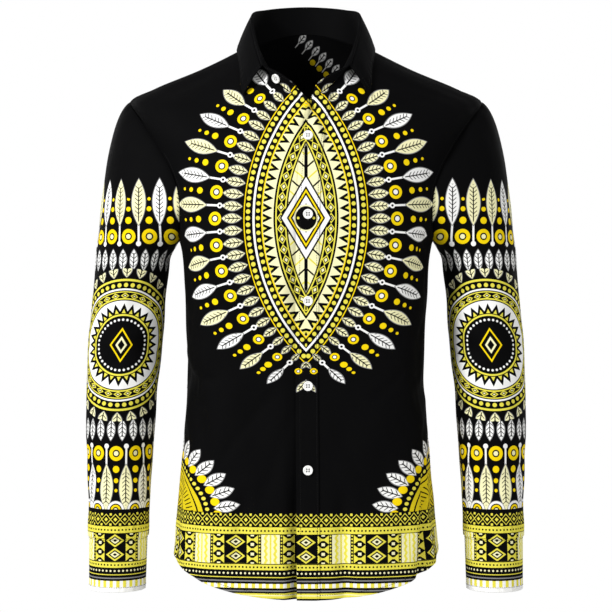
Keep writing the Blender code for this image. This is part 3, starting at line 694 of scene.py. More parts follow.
@dataclass
class Workshop:
    """What the sub-assemblies are made with, and the stitch rows kept for the end."""

    form: TorsoForm
    cloth: Cloth
    sewing: Sewing
    materials: dict[str, Material]
    rows: list[tuple[Array, Array]] = field(default_factory=list)
    hem_end: float = 9.0
    hem_slope: float = 3.0

    def dress(self, piece: Object, node: str = "") -> None:
        """Sets a piece on the frame, in place of its node where it has one."""
        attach(piece, "root")
        if node:
            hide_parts(node)
        LOG.info("%s: %d faces", piece.name, len(piece.data.polygons))

    def sew(
        self, node: str, outer: Array, inner: Array, normals: Array, spots: Array,
        material: str, rows: tuple[StitchRow, ...] = (), closed: bool = False,
    ) -> Face:
        """Makes and dresses a cloth piece, and keeps its stitch rows, to be sewn at the end.

        Args:
            node: The node that it stands for.
            outer: Outer points.
            inner: Inner points.
            normals: Normals of the outer face.
            spots: Where each point lies on the print, in metres.
            material: Key of its finish.
            rows: Its stitch rows.
            closed: Whether its columns close to a tube.

        Returns:
            Its outer face.
        """
        piece = shell_object("shirt_" + node, outer, inner, spots, self.materials[material], closed)
        self.dress(piece, node)
        face = Face(outer, normals)
        self.rows += [face.run(row) for row in rows]
        return face

    def torso_piece(
        self, node: str, places: Array, rows: tuple[StitchRow, ...],
        lift: Array | float = 0.0, hem: float = 0.0, centre: int = 0, material: str = "body",
    ) -> None:
        """Sews a body panel on a grid of (angle, ring) places.

        Args:
            node: The node that it stands for.
            places: Its grid.
            rows: Its stitch rows.
            lift: Move of the whole panel out from the surface.
            hem: Extra thickness of the turned-up hem.
            centre: Angle of the centre line that its print is laid from.
            material: Key of its finish.
        """
        base = self.form.point(places[..., 0], places[..., 1], lift)
        base = base + self.cloth.drawn_in(base)
        plain_normal = self.form.normal(places[..., 0], places[..., 1])
        marks = self.sewing.marks(base, rows)
        if hem:
            off = Edge.FIRST_ROW.back(lengths_along(Edge.FIRST_ROW.turned(base)))
            marks = marks + hem * eased((self.hem_end - off) / self.hem_slope)
        outer = base + marks[..., None] * plain_normal
        inner = base - self.cloth.wall * plain_normal
        normals = sheet_normals(outer)
        normals *= np.sign((normals * plain_normal).sum(-1, keepdims=True))
        spots = self.form.print_place(places, centre)
        self.sew(node, outer, inner, normals, spots, material, rows)


@dataclass(frozen=True)
class BodyPanels:
    """The two fronts, the placket, the back and the yoke."""

    front_yoke_turn: float = 20.0
    back_yoke_turn: float = 50.0
    yoke_neck_angle: float = 72.0
    yoke_back_ring: float = -97.0
    edges: Array = table([
        # ring, lapped_edge, under_edge: sideways places of the two free edges
        (-745, -11.5, 14.0),
        (-205, -11.5, 14.0),
        (-150, -10.0, 13.5),
        (-100, -7.5, 13.0),
        (-65, -5.0, 12.5),
        (-20, -2.0, 11.5),
        (40, 1.5, 9.0),
        (100, 5.6, 4.2),
    ])
    placket_width: float = 29.0
    placket_top: float = 88.0
    placket_swell: float = 0.35
    seam_row: float = 7.0
    seam_row_turn: float = 172.0
    narrowest_lap: float = 8.0
    under_fade: float = 18.0
    edge_rows_drop: float = 44.0
    side_rows: int = 14
    scye_rows: int = 8
    yoke_scye_rows: int = 4
    back_scye_rows: int = 7
    lap_points: int = 7
    front_columns: int = 5
    back_half_columns: int = 10
    yoke_bands: int = 5
    hem_turn: float = 0.45
    fold_away: Array = table([
        # height, how far the under front falls away beside the placket
        (-745, 12.0), (-680, 11.5), (-620, 9.0), (-560, 4.0), (-470, 1.0), (-400, 2.0),
        (-335, 4.2), (-270, 3.0), (-205, 0.4), (-150, 0.0), (100, 0.0),
    ])

    def side_run(self, form: TorsoForm) -> Array:
        """The wearer's left side seam, from the hem to the armpit."""
        return line((90, form.side_hem), (90, form.armpit_ring), self.side_rows * FINE)

    def front_turns(self) -> Array:
        """Turns round the armhole from the armpit up to the front yoke seam."""
        return np.linspace(180, self.front_yoke_turn, self.scye_rows * FINE + 1)

    def yoke_turns(self) -> Array:
        """Turns over the shoulder from the front yoke seam to the back one."""
        return np.linspace(self.front_yoke_turn, -self.back_yoke_turn, self.yoke_scye_rows * FINE + 1)

    def back_turns(self) -> Array:
        """Turns from the back yoke seam down to the armpit."""
        return np.linspace(-self.back_yoke_turn, -180, self.back_scye_rows * FINE + 1)

    def edge_rings(self, form: TorsoForm) -> Array:
        """Rings of a front's rows at its free edge, lower there than at the armhole."""
        level = form.armpit_ring - self.edge_rows_drop
        lower = np.linspace(form.front_hem, level, self.side_rows * FINE + 1)
        upper = np.linspace(level, form.neck_ring, self.scye_rows * FINE + 1)
        return np.concatenate([lower, upper[1:]])

    def front_places(self, form: TorsoForm, side: int) -> tuple[Array, Array]:
        """Grid of one front, and how far each place lies from the lap, from 0 in it to 1.

        Args:
            form: The torso.
            side: 1 for the wearer's left, -1 for the right.

        Returns:
            The (angle, ring) grid, and the share out of the lap.
        """
        rings = self.edge_rings(form)
        edges = through_rows(self.edges, rings)
        own = edges[:, 0] if side > 0 else -edges[:, 1]
        other = edges[:, 1] if side > 0 else -edges[:, 0]
        lap = np.maximum(other, own + self.narrowest_lap)
        third = own + self.placket_width if side > 0 else lap + self.under_fade
        share = np.linspace(0, 1, self.lap_points)
        lap_columns = own[:, None] + (lap - own)[:, None] * share
        fade_columns = lap[:, None] + (third - lap)[:, None] * share
        sideways = np.concatenate([lap_columns, fade_columns[:, 1:]], axis=1)
        out_of_lap = np.concatenate([np.zeros(self.lap_points), share[1:]])
        angles = form.angle_at(sideways, rings[:, None])
        strip = side_by_side(angles, np.broadcast_to(rings[:, None], angles.shape))
        strip[0, :, 1] = form.hem_ring(angles[0])

        right = joined(self.side_run(form), form.armhole(self.front_turns()))
        columns = self.front_columns * FINE
        hem_angles = np.linspace(angles[0, -1], 90, 2 * columns + 1)
        bottom = side_by_side(hem_angles, form.hem_ring(hem_angles))
        corner = (self.yoke_neck_angle, form.neck_ring)
        top = joined(line(strip[-1, -1], corner, columns), line(corner, right[-1], columns))
        body = patch(bottom, top, strip[:, -1], right)
        out = np.concatenate([out_of_lap, np.ones(body.shape[1] - 1)])
        return np.concatenate([strip[:, :-1], body], axis=1) * (side, 1), out

    def back_top(self, form: TorsoForm) -> Array:
        """The back yoke seam, from the left armhole to the right one."""
        start = form.armhole(-self.back_yoke_turn)
        half = line(start, (180, self.yoke_back_ring), self.back_half_columns * FINE)
        return joined(half, mirrored(half[::-1]))

    def build(self, shop: Workshop) -> None:
        """Builds the fronts, the placket, the back and the yoke."""
        form, cloth = shop.form, shop.cloth
        hem = StitchRow(Edge.FIRST_ROW, 6.0)
        lapped, _ = self.front_places(form, 1)
        shop.torso_piece("front_left", lapped, (hem,), 0.0, self.hem_turn)
        under, out = self.front_places(form, -1)
        away = through_rows(self.fold_away, under[..., 1])[..., 0]
        sunk = -(cloth.wall + cloth.layer_gap + away) * (1 - eased(out))
        shop.torso_piece("front_right", under, (hem,), sunk, self.hem_turn)
        self.build_placket(shop, lapped[:, : 2 * self.lap_points - 1])

        edge = joined(self.side_run(form), form.armhole(self.back_turns())[::-1])
        top = self.back_top(form)
        hem_angles = np.linspace(90, 270, len(top))
        bottom = side_by_side(hem_angles, form.hem_ring(hem_angles))
        places = patch(bottom, top, edge, mirrored(edge))
        share = self.side_rows / (self.side_rows + self.back_scye_rows)
        sides = Edge.FIRST_COLUMN, Edge.LAST_COLUMN
        rows = (hem, *(StitchRow(side, 2.0, 0, share) for side in sides))
        shop.torso_piece("back", places, rows, 0.0, self.hem_turn, 180)

        scye = form.armhole(self.yoke_turns())
        outer = joined(scye, top, mirrored(scye[::-1]))
        neck_end = np.array((self.yoke_neck_angle, form.neck_ring))
        neck = line(neck_end, mirrored(neck_end), len(outer) - 1)
        bands = np.linspace(outer, neck, self.yoke_bands * FINE + 1)
        first = (len(scye) - 1) / (len(outer) - 1)
        level = StitchRow(Edge.FIRST_ROW, 2.0, first, 1 - first)
        rows = (*(StitchRow(side, 2.0) for side in sides), level)
        shop.torso_piece("yoke", bands, rows, 0.0, 0.0, 180, "yoke")
        self.armhole_rows(shop)

    def build_placket(self, shop: Workshop, strip: Array) -> None:
        """The folded band down the lapped edge, stitched along both sides.

        Its section swells a little between the two rows, as a folded band does.
        """
        form, cloth = shop.form, shop.cloth
        rings = strip[:, 0, 1]
        index = np.interp(self.placket_top, rings, np.arange(len(rings)))
        rows = np.append(np.arange(int(index) + 1), index)
        low = np.floor(rows).astype(int)
        high = np.minimum(low + 1, len(rings) - 1)
        share = (rows - low)[:, None, None]
        places = strip[low] * (1 - share) + strip[high] * share
        finer = np.empty((len(places), 2 * places.shape[1] - 1, 2))
        finer[:, ::2], finer[:, 1::2] = places, (places[:, 1:] + places[:, :-1]) / 2
        base, inner = (
            face + cloth.drawn_in(face)
            for lift in (cloth.wall + cloth.layer_gap, cloth.layer_gap)
            for face in [form.point(finer[..., 0], finer[..., 1], lift)]
        )
        stitched = (StitchRow(Edge.FIRST_COLUMN, 5.0), StitchRow(Edge.LAST_COLUMN, 2.2))
        marks, off = shop.sewing.marks(base, stitched), lengths_along(base)
        marks += self.placket_swell * np.sin(math.pi * np.clip(off / off[:, -1:], 0, 1))
        outer = base + marks[..., None] * form.normal(finer[..., 0], finer[..., 1])
        spots = form.print_place(finer)
        shop.sew("placket", outer, inner, sheet_normals(outer), spots, "body", stitched)

    def armhole_rows(self, shop: Workshop) -> None:
        """Stitches on the body beside both armholes, on a loop outside the seam."""
        turns = np.linspace(self.seam_row_turn, -self.seam_row_turn, 260)
        places = shop.form.armhole(turns, self.seam_row)
        points = shop.form.point(places[:, 0], places[:, 1])
        normals = shop.form.normal(places[:, 0], places[:, 1])
        for side in (1, -1):
            flip = np.array([side, 1, 1])
            shop.rows.append((points * flip, normals * flip))


@dataclass(frozen=True)
class Sleeves:
    """Set-in sleeves with their slit bindings, and the cuffs. Side 1 is the wearer's left."""

    sections: Array = table([
        # height, centre_x, centre_y, half_width, half_depth
        (-722, 252.0, -23, 37.6, 38.5),
        (-652, 251.4, -17, 39.0, 41.5),
        (-610, 250.8, -13, 40.8, 45.0),
        (-540, 250.2, -7, 44.5, 49.5),
        (-470, 248.6, -2, 47.4, 54.0),
        (-400, 243.9, 1, 49.6, 58.0),
        (-345, 239.5, 2, 49.6, 60.0),
        (-285, 234.0, 3, 49.5, 62.0),
    ])
    folds: Array = table([
        # girth_1, height_1, girth_2, height_2, depth, half_width: the solid's own folds
        (135, -392, 54, -425, -3.4, 15),
        (36, -372, 106, -352, -2.6, 15),
        (-54, -405, -135, -440, -3.0, 17),
        (152, -470, 72, -500, -2.4, 16),
        (18, -560, 99, -590, -2.2, 15),
        (-27, -590, -117, -560, -2.4, 15),
        (140, -312, 86, -350, -2.8, 15),
        (-135, -315, -81, -352, -2.6, 16),
    ])
    creases: Array = table([
        # the same columns: the fine creases that the scene adds
        (150, -404, 92, -436, -1.5, 6.0),
        (128, -362, 60, -384, -1.2, 6.5),
        (60, -404, 10, -396, -1.1, 7.0),
        (104, -452, 40, -470, -1.2, 7.0),
        (150, -520, 104, -548, -1.3, 7.0),
        (60, -522, 8, -548, -0.9, 7.0),
        (130, -604, 96, -636, -1.2, 6.0),
        (40, -612, 22, -642, -0.9, 5.5),
        (-20, -606, -38, -640, -1.0, 5.5),
        (-90, -610, -76, -640, -1.1, 6.0),
        (-150, -452, -96, -478, -1.3, 7.0),
        (-152, -390, -92, -372, -1.2, 7.0),
        (-60, -470, -16, -486, -1.0, 7.0),
        (-140, -520, -96, -536, -1.1, 7.0),
        (148, -268, 112, -300, -1.6, 8.0),
        (-148, -270, -112, -304, -1.5, 8.0),
        (60, -232, 84, -290, -1.0, 9.0),
        (-56, -236, -76, -296, -0.9, 9.0),
    ])
    waves: Array = table([
        # wave length round, wave length up, phase, height
        (81.0, 133.0, 0.9, 0.30),
        (-54.0, 97.0, 2.4, 0.24),
        (324.0, 61.0, 4.4, 0.26),
        (40.5, -73.0, 1.2, 0.14),
    ])
    half_girth: float = 162.0
    bicep: float = -285.0
    cuff_seam: float = -652.0
    cuff_end: float = -722.0
    half_gap: float = 0.15
    blouse: float = 1.6
    blouse_reach: float = 30.0
    gathers: float = 0.55
    gather_reach: float = 26.0
    gather_lengths: tuple[float, float] = (13.5, 7.9)
    calm_above_cuff: float = 18.0
    calm_rows: float = 6.0
    cap_ease: float = 0.5
    cap_ease_rows: float = 1.1
    cap_ease_length: float = 15.0
    cap_leave: float = 0.47
    cap_arrive: float = 0.80
    cap_rows: int = 7
    sleeve_rows: int = 12
    slit_rows: int = 4
    slit_columns: tuple[int, int] = (13, 15)
    cuff_start: float = -68.6
    cuff_step: float = 18.0
    cuff_steps: int = 22
    cuff_lap_steps: int = 2
    cuff_rows: int = 20
    cuff_sag: float = 0.21
    cuff_sag_steps: float = 5.3
    button_turn: float = -92.0

    def section(self, turn: Array | float, height: Array | float) -> Array:
        """Points of the hanging sleeve: an oval at each height. Turn 0 is outwards, 90 front."""
        turn, height = np.broadcast_arrays(np.asarray(turn, float), np.asarray(height, float))
        centre_x, centre_y, half_width, half_depth = np.moveaxis(
            through_rows(self.sections, height), -1, 0
        )
        t = np.radians(turn)
        x, y = centre_x + half_width * np.cos(t), centre_y - half_depth * np.sin(t)
        return side_by_side(x, y, height)

    def turns(self, panels: BodyPanels) -> Array:
        """Turns of the columns, which are those of the panels round the armhole."""
        runs = panels.front_turns(), panels.yoke_turns()[1:], panels.back_turns()[1:-1]
        return np.concatenate(runs)

    def cap(self, form: TorsoForm, turns: Array) -> Array:
        """Rows from the armhole to the bicep, each meridian a cubic between the two.

        It leaves the armhole along the shoulder at the top, out at the sides and down at the
        armpit, and arrives along the hanging sleeve.
        """
        t = np.radians(turns)
        low = (1 - np.cos(t)) / 2
        across = 0.91 - 0.40 * low**2
        up = -0.42 + 0.35 * np.sin(t) ** 2 - 0.45 * low**3
        direction = unit(side_by_side(across, -0.30 * np.sin(t), up))
        places = form.armhole(turns)
        start = form.point(places[:, 0], places[:, 1])
        end = self.section(turns, self.bicep)
        reach = np.linalg.norm(end - start, axis=-1, keepdims=True)
        leave = direction * reach * self.cap_leave
        arrive = unit(self.section(turns, self.bicep - 5) - end) * reach * self.cap_arrive
        s = np.linspace(0, 1, self.cap_rows * FINE + 1)[:, None, None] ** 1.15
        return cubic(s, start, leave, end, arrive)

    def face(self, form: TorsoForm, panels: BodyPanels) -> tuple[Array, Array]:
        """Outer points and normals of the left sleeve, with its folds."""
        turns = self.turns(panels)
        lowest = self.cuff_seam + self.half_gap
        heights = np.linspace(self.bicep, lowest, self.sleeve_rows * FINE + 1)
        tube = self.section(turns[None, :], heights[1:, None])
        outer = np.concatenate([self.cap(form, turns), tube])
        above = outer[..., 2] - self.cuff_seam
        folds = np.concatenate([self.folds, self.creases])
        relief = soft_folds(turns[None, :], outer[..., 2], folds, self.half_girth)
        girth = turns[None, :] * self.half_girth / 180
        relief += unevenness(girth, outer[..., 2], self.waves)
        long, short = (math.tau * girth / length for length in self.gather_lengths)
        gathers = np.sin(long) + 0.5 * np.sin(short + 1)
        relief += self.gathers * gathers * np.exp(-((above / self.gather_reach) ** 2))
        relief *= np.clip(above / self.calm_above_cuff, 0, 1)
        rows_down = np.arange(len(outer)) / FINE
        relief *= np.clip(rows_down / self.calm_rows, 0, 1)[:, None]
        low = (1 - np.cos(np.radians(turns))) / 2
        eased_in = self.cap_ease * np.exp(-((rows_down / self.cap_ease_rows) ** 2))[:, None]
        relief += eased_in * (1 - low)[None, :] * np.sin(math.tau * girth / self.cap_ease_length)
        relief += self.blouse * np.exp(-((above / self.blouse_reach) ** 2))
        outer = outer + tube_normals(outer) * relief[..., None]
        normal = tube_normals(outer)
        outer[-1, :, 2] = heights[-1]
        normal[-1, :, 2] = 0
        return outer, normal

    def print_place(self, points: Array) -> Array:
        """Places on the left sleeve's print: girth from the front or back line, and height.

        The girth is read about the hanging sleeve's own middle. Above the bicep, on the side
        of the body, it gives way to the plain distance sideways from that middle.
        """
        centre_x, centre_y, half_width, half_depth = np.moveaxis(
            through_rows(self.sections, points[..., 2]), -1, 0
        )
        turn = np.degrees(np.arctan2(
            (centre_y - points[..., 1]) / half_depth, (points[..., 0] - centre_x) / half_width
        ))
        across = np.abs(np.mod(turn, 180) - 90) * math.pi * (half_width + half_depth) / 360
        sideways = centre_x - points[..., 0]
        flat = eased((points[..., 2] + 300) / 60) * (sideways > 0)
        across += flat * (sideways - across)
        return side_by_side(across, points[..., 2]) * MM

    def build(self, shop: Workshop, panels: BodyPanels) -> dict[str, Face]:
        """Builds and dresses both sleeves, their slit bindings and the cuffs.

        Args:
            shop: The form, the cloth and the finishes.
            panels: The body panels, whose columns the sleeves share.

        Returns:
            The outer face of each cuff.
        """
        cuffs = {}
        for name, side in (("left", 1), ("right", -1)):
            self.build_sleeve(shop, panels, name, side)
            cuffs[name] = self.build_cuff(shop, name, side)
        return cuffs

    def build_sleeve(self, shop: Workshop, panels: BodyPanels, name: str, side: int) -> None:
        """One sleeve and the strip that binds its slit above the cuff."""
        cloth, form = shop.cloth, shop.form
        flip = np.array([side, 1, 1])
        turns = self.turns(panels)
        outer, normal = self.face(form, panels)
        places = form.armhole(turns)
        seam = form.point(places[:, 0], places[:, 1])
        torso_out = form.normal(places[:, 0], places[:, 1])
        along = unit(np.roll(seam, -1, axis=0) - np.roll(seam, 1, axis=0))
        into = unit(np.cross(torso_out, along))
        into *= np.sign((into * (seam.mean(axis=0) - seam)).sum(-1, keepdims=True))
        low = ((1 - np.cos(np.radians(turns))) / 2)[:, None]
        outer[0] += into * cloth.seam_gap / 2 + torso_out * low**3 * cloth.seam_gap
        inward = -normal
        inward[0] -= into * np.minimum((inward[0] * into).sum(-1, keepdims=True), 0)
        inward[0] = unit(inward[0])
        inner = outer + cloth.wall * inward
        spots = self.print_place(outer)
        out = normal * flip
        shop.sew("sleeve_" + name, outer * flip, inner * flip, out, spots, "sleeve", closed=True)
        first, last = (column * FINE for column in self.slit_columns)
        strip = np.s_[-1 - self.slit_rows * FINE :, first : last + 1]
        strip_inner = outer[strip] + cloth.layer_gap * normal[strip]
        base = strip_inner + cloth.wall * normal[strip]
        rows = (StitchRow(Edge.FIRST_COLUMN, 2.0), StitchRow(Edge.LAST_COLUMN, 2.0))
        marks = shop.sewing.marks(base, rows)[..., None] * normal[strip]
        shop.sew(
            "sleeve_placket_" + name, (base + marks) * flip, strip_inner * flip, out[strip],
            spots[strip], "sleeve", rows,
        )

    def build_cuff(self, shop: Workshop, name: str, side: int) -> Face:
        """A cuff: one stiffened band that laps over its own start, stitched all round.

        Returns:
            Its outer face.
        """
        cloth = shop.cloth
        flip = np.array([side, 1, 1])
        steps = np.linspace(0, self.cuff_steps, self.cuff_steps * FINE + 1)
        turns = self.cuff_start - self.cuff_step * steps
        heights = np.linspace(self.cuff_seam - self.half_gap, self.cuff_end, self.cuff_rows + 1)
        rise = eased((steps - (self.cuff_steps - self.cuff_lap_steps) + 2) / 2)
        face = self.section(turns[None, :], heights[:, None])
        whole = (self.cuff_steps - self.cuff_lap_steps) * FINE
        centre = face[:, :whole].mean(axis=1, keepdims=True)
        normal = unit((face - centre) * (1, 0.87, 0))
        base = face + normal * (rise * (cloth.cuff + cloth.layer_gap))[None, :, None]
        rows = (
            StitchRow(Edge.FIRST_ROW, 2.5),
            StitchRow(Edge.LAST_ROW, 5.5),
            StitchRow(Edge.LAST_COLUMN, 5.5, 0.08, 0.92),
        )
        sag = self.cuff_sag * np.sin(math.tau * steps / self.cuff_sag_steps + 0.6)[None, :]
        sag = sag * np.sin(math.pi * np.linspace(0, 1, self.cuff_rows + 1))[:, None]
        marks = shop.sewing.marks(base, rows) + np.abs(sag)
        outer = (base + marks[..., None] * normal) * flip
        inner = (base - cloth.cuff * normal) * flip
        spots = self.print_place(face)
        return shop.sew("cuff_" + name, outer, inner, normal * flip, spots, "sleeve", rows)


@dataclass(frozen=True)
class Collar:
    """The collar stand, with its tabs, and the leaf that folds over it."""

    crest_rows: Array = table([
        # angle, x, y, z of the stand's upper edge
        (28, 56.0, -80.0, -32.5),
        (40, 62.0, -63.0, -13.0),
        (60, 68.5, -35.0, 13.0),
        (90, 73.0, 5.0, 43.5),
        (135, 53.5, 54.0, 60.0),
        (180, 0.0, 74.0, 67.0),
        (225, -53.5, 54.0, 60.0),
    ])
    leaf_edge: Array = table([
        # angle, body_angle, body_ring, lift of the leaf's outer edge over the body
        (28, 35.0, 30.5, 3.4),
        (40, 43.0, 50.0, 3.2),
        (60, 56.0, 70.5, 3.2),
        (90, 88.0, 84.0, 3.4),
        (135, 137.0, 84.0, 6.0),
        (180, 180.0, 80.0, 8.0),
        (225, 223.0, 84.0, 6.0),
    ])
    corner: float = 28.0
    neck_lap: float = 3.8
    tab_end_left: tuple[float, float, float] = (15.0, -97.5, -55.0)
    tab_end_right: tuple[float, float, float] = (-21.5, -97.5, -53.0)
    tab_round: float = 0.20
    tab_round_length: float = 0.45
    tab_bow: float = 1.5
    fold_radius: float = 1.15
    fold_side: float = 0.2
    fold_rise: float = 1.4
    leaf_bow: float = 1.6
    tab_columns: int = 20
    columns: int = 150
    stand_rows: int = 14
    fold_rows: int = 10
    fall_rows: int = 20

    def crest(self, angle: Array) -> Array:
        """Upper edge of the stand at each angle, from leaf corner to leaf corner."""
        turned = np.where(np.asarray(angle, float) > 180, 360 - angle, angle)
        side = np.where(angle > 180, -1.0, 1.0)
        return through_rows(self.crest_rows, turned) * side_by_side(side, 1.0, 1.0)

    def tab_crest(self, share: Array, end: tuple[float, float, float], side: int) -> Array:
        """Upper edge of a tab, from its end to the leaf's corner, bowed a little upwards."""
        corner = self.crest(np.array([self.corner if side > 0 else 360 - self.corner]))[0]
        share = share[:, None]
        bow = 4 * share * (1 - share) * self.tab_bow * np.array([0.0, -0.3, 1.0])
        return np.array(end) * (1 - share) + corner * share + bow

    def seam(self, form: TorsoForm, panels: BodyPanels, cloth: Cloth, angles: Array) -> Array:
        """Points of the neck edge: the under front's end of it lies one layer lower."""
        points = form.plain(angles, form.neck_ring)
        past = np.clip((-self.neck_lap - points[:, 0]) / panels.under_fade, 0, 1)
        sunk = (cloth.wall + cloth.layer_gap) * (1 - eased(past))
        lift = np.where(angles > 270, -sunk, 0.0)
        return form.point(angles, form.neck_ring, lift)

    def stand_points(self, form: TorsoForm, panels: BodyPanels, cloth: Cloth) -> tuple[Array, Array]:
        """Angles of the stand's columns, and its outer face: straight up from seam to crest."""
        neck = form.neck_ring
        first = float(form.angle_at(panels.edges[-1, 1], np.array([neck]))[0])
        last = 360 + float(form.angle_at(panels.edges[-1, 2], np.array([neck]))[0])
        share = np.linspace(0, 1, self.tab_columns + 1)
        left_tab = first + (self.corner - first) * share
        right_tab = last + (360 - self.corner - last) * share
        middle = np.linspace(self.corner, 360 - self.corner, self.columns + 1)
        angles = joined(left_tab, middle, right_tab[::-1])
        bottom = self.seam(form, panels, cloth, angles)
        top = joined(
            self.tab_crest(share, self.tab_end_left, 1),
            self.crest(middle),
            self.tab_crest(share, self.tab_end_right, -1)[::-1],
        )
        index = np.arange(len(angles))
        from_end = np.minimum(index, index[::-1]) / self.tab_columns
        cut = self.tab_round * np.clip(1 - from_end / self.tab_round_length, 0, 1) ** 2
        rise = np.linspace(0, 1, self.stand_rows + 1)[:, None, None] * (1 - cut)[None, :, None]
        return angles, bottom + (top - bottom) * rise

    def build(self, shop: Workshop, panels: BodyPanels) -> tuple[Array, Face]:
        """Builds and dresses the stand and the leaf.

        Returns:
            The angle of each column of the stand, and its outer face.
        """
        form, cloth = shop.form, shop.cloth
        angles, base = self.stand_points(form, panels, cloth)
        normal = sheet_normals(base)
        base = base + cloth.drawn_in(base)
        tab_share = self.tab_columns / (len(angles) - 1)
        rows = (
            StitchRow(Edge.FIRST_ROW, 2.0),
            *(StitchRow(Edge.LAST_ROW, 2.6, *run) for run in ((0, tab_share), (1 - tab_share, 1))),
            *(StitchRow(edge, 2.6, 0.1, 0.9) for edge in (Edge.FIRST_COLUMN, Edge.LAST_COLUMN)),
        )
        outer = base + shop.sewing.marks(base, rows)[..., None] * normal
        inner = base - cloth.stand * normal
        spots = outer[..., [0, 2]] * MM
        face = shop.sew("collar_stand", outer, inner, normal, spots, "stand", rows)
        self.build_leaf(shop, base, normal)
        return angles, face

    def build_leaf(self, shop: Workshop, stand: Array, normal: Array) -> None:
        """The leaf starts on the stand's upper edge, folds over it in a half circle, and falls.

        Its fall is straight from the fold to the edge that lies off the body, bowed outwards
        by a parabola.
        """
        form, cloth = shop.form, shop.cloth
        columns = np.s_[self.tab_columns : self.tab_columns + self.columns + 1]
        top, out = stand[-1, columns], normal[-1, columns]
        rise = top - stand[-1 - self.stand_rows // 2, columns]
        up = unit(rise - (rise * out).sum(-1, keepdims=True) * out)
        arc = np.linspace(0, math.pi, self.fold_rows + 1)
        side = np.concatenate([[-1.0], -np.cos(arc)])
        height = np.concatenate([[0.0], np.sin(arc)])
        across = self.fold_side + self.fold_radius * side
        lift = self.fold_rise + self.fold_radius * height
        lift[0] = cloth.layer_gap
        fold = top + across[:, None, None] * out + lift[:, None, None] * up
        fold_out = side[:, None, None] * out + height[:, None, None] * up

        angles = np.linspace(self.corner, 360 - self.corner, self.columns + 1)
        turned = np.minimum(angles, 360 - angles)
        body_angle, body_ring, off = np.moveaxis(through_rows(self.leaf_edge, turned), -1, 0)
        body_angle = np.where(angles > 180, 360 - body_angle, body_angle)
        edge = form.point(body_angle, body_ring, off)
        share = np.linspace(0, 1, self.fall_rows + 1)[1:, None, None]
        fall = fold[-1] + (edge - fold[-1]) * share
        fall_out = -sheet_normals(np.concatenate([fold[-1:], fall]))[1:]
        fall = fall + fall_out * self.leaf_bow * 4 * share * (1 - share)

        centre = np.concatenate([fold, fall])
        outwards = np.concatenate([fold_out, fall_out])
        rows = (
            StitchRow(Edge.LAST_ROW, 6.0, 0.02, 0.98),
            StitchRow(Edge.FIRST_COLUMN, 6.0, 0.36, 0.94),
            StitchRow(Edge.LAST_COLUMN, 6.0, 0.36, 0.94),
        )
        half = cloth.leaf / 2
        marks = shop.sewing.marks(centre, rows)[..., None] * outwards
        outer, inner = centre + half * outwards + marks, centre - half * outwards
        spots = np.zeros((*outer.shape[:2], 2))
        shop.sew("collar_leaf", outer, inner, outwards, spots, "plain", rows)


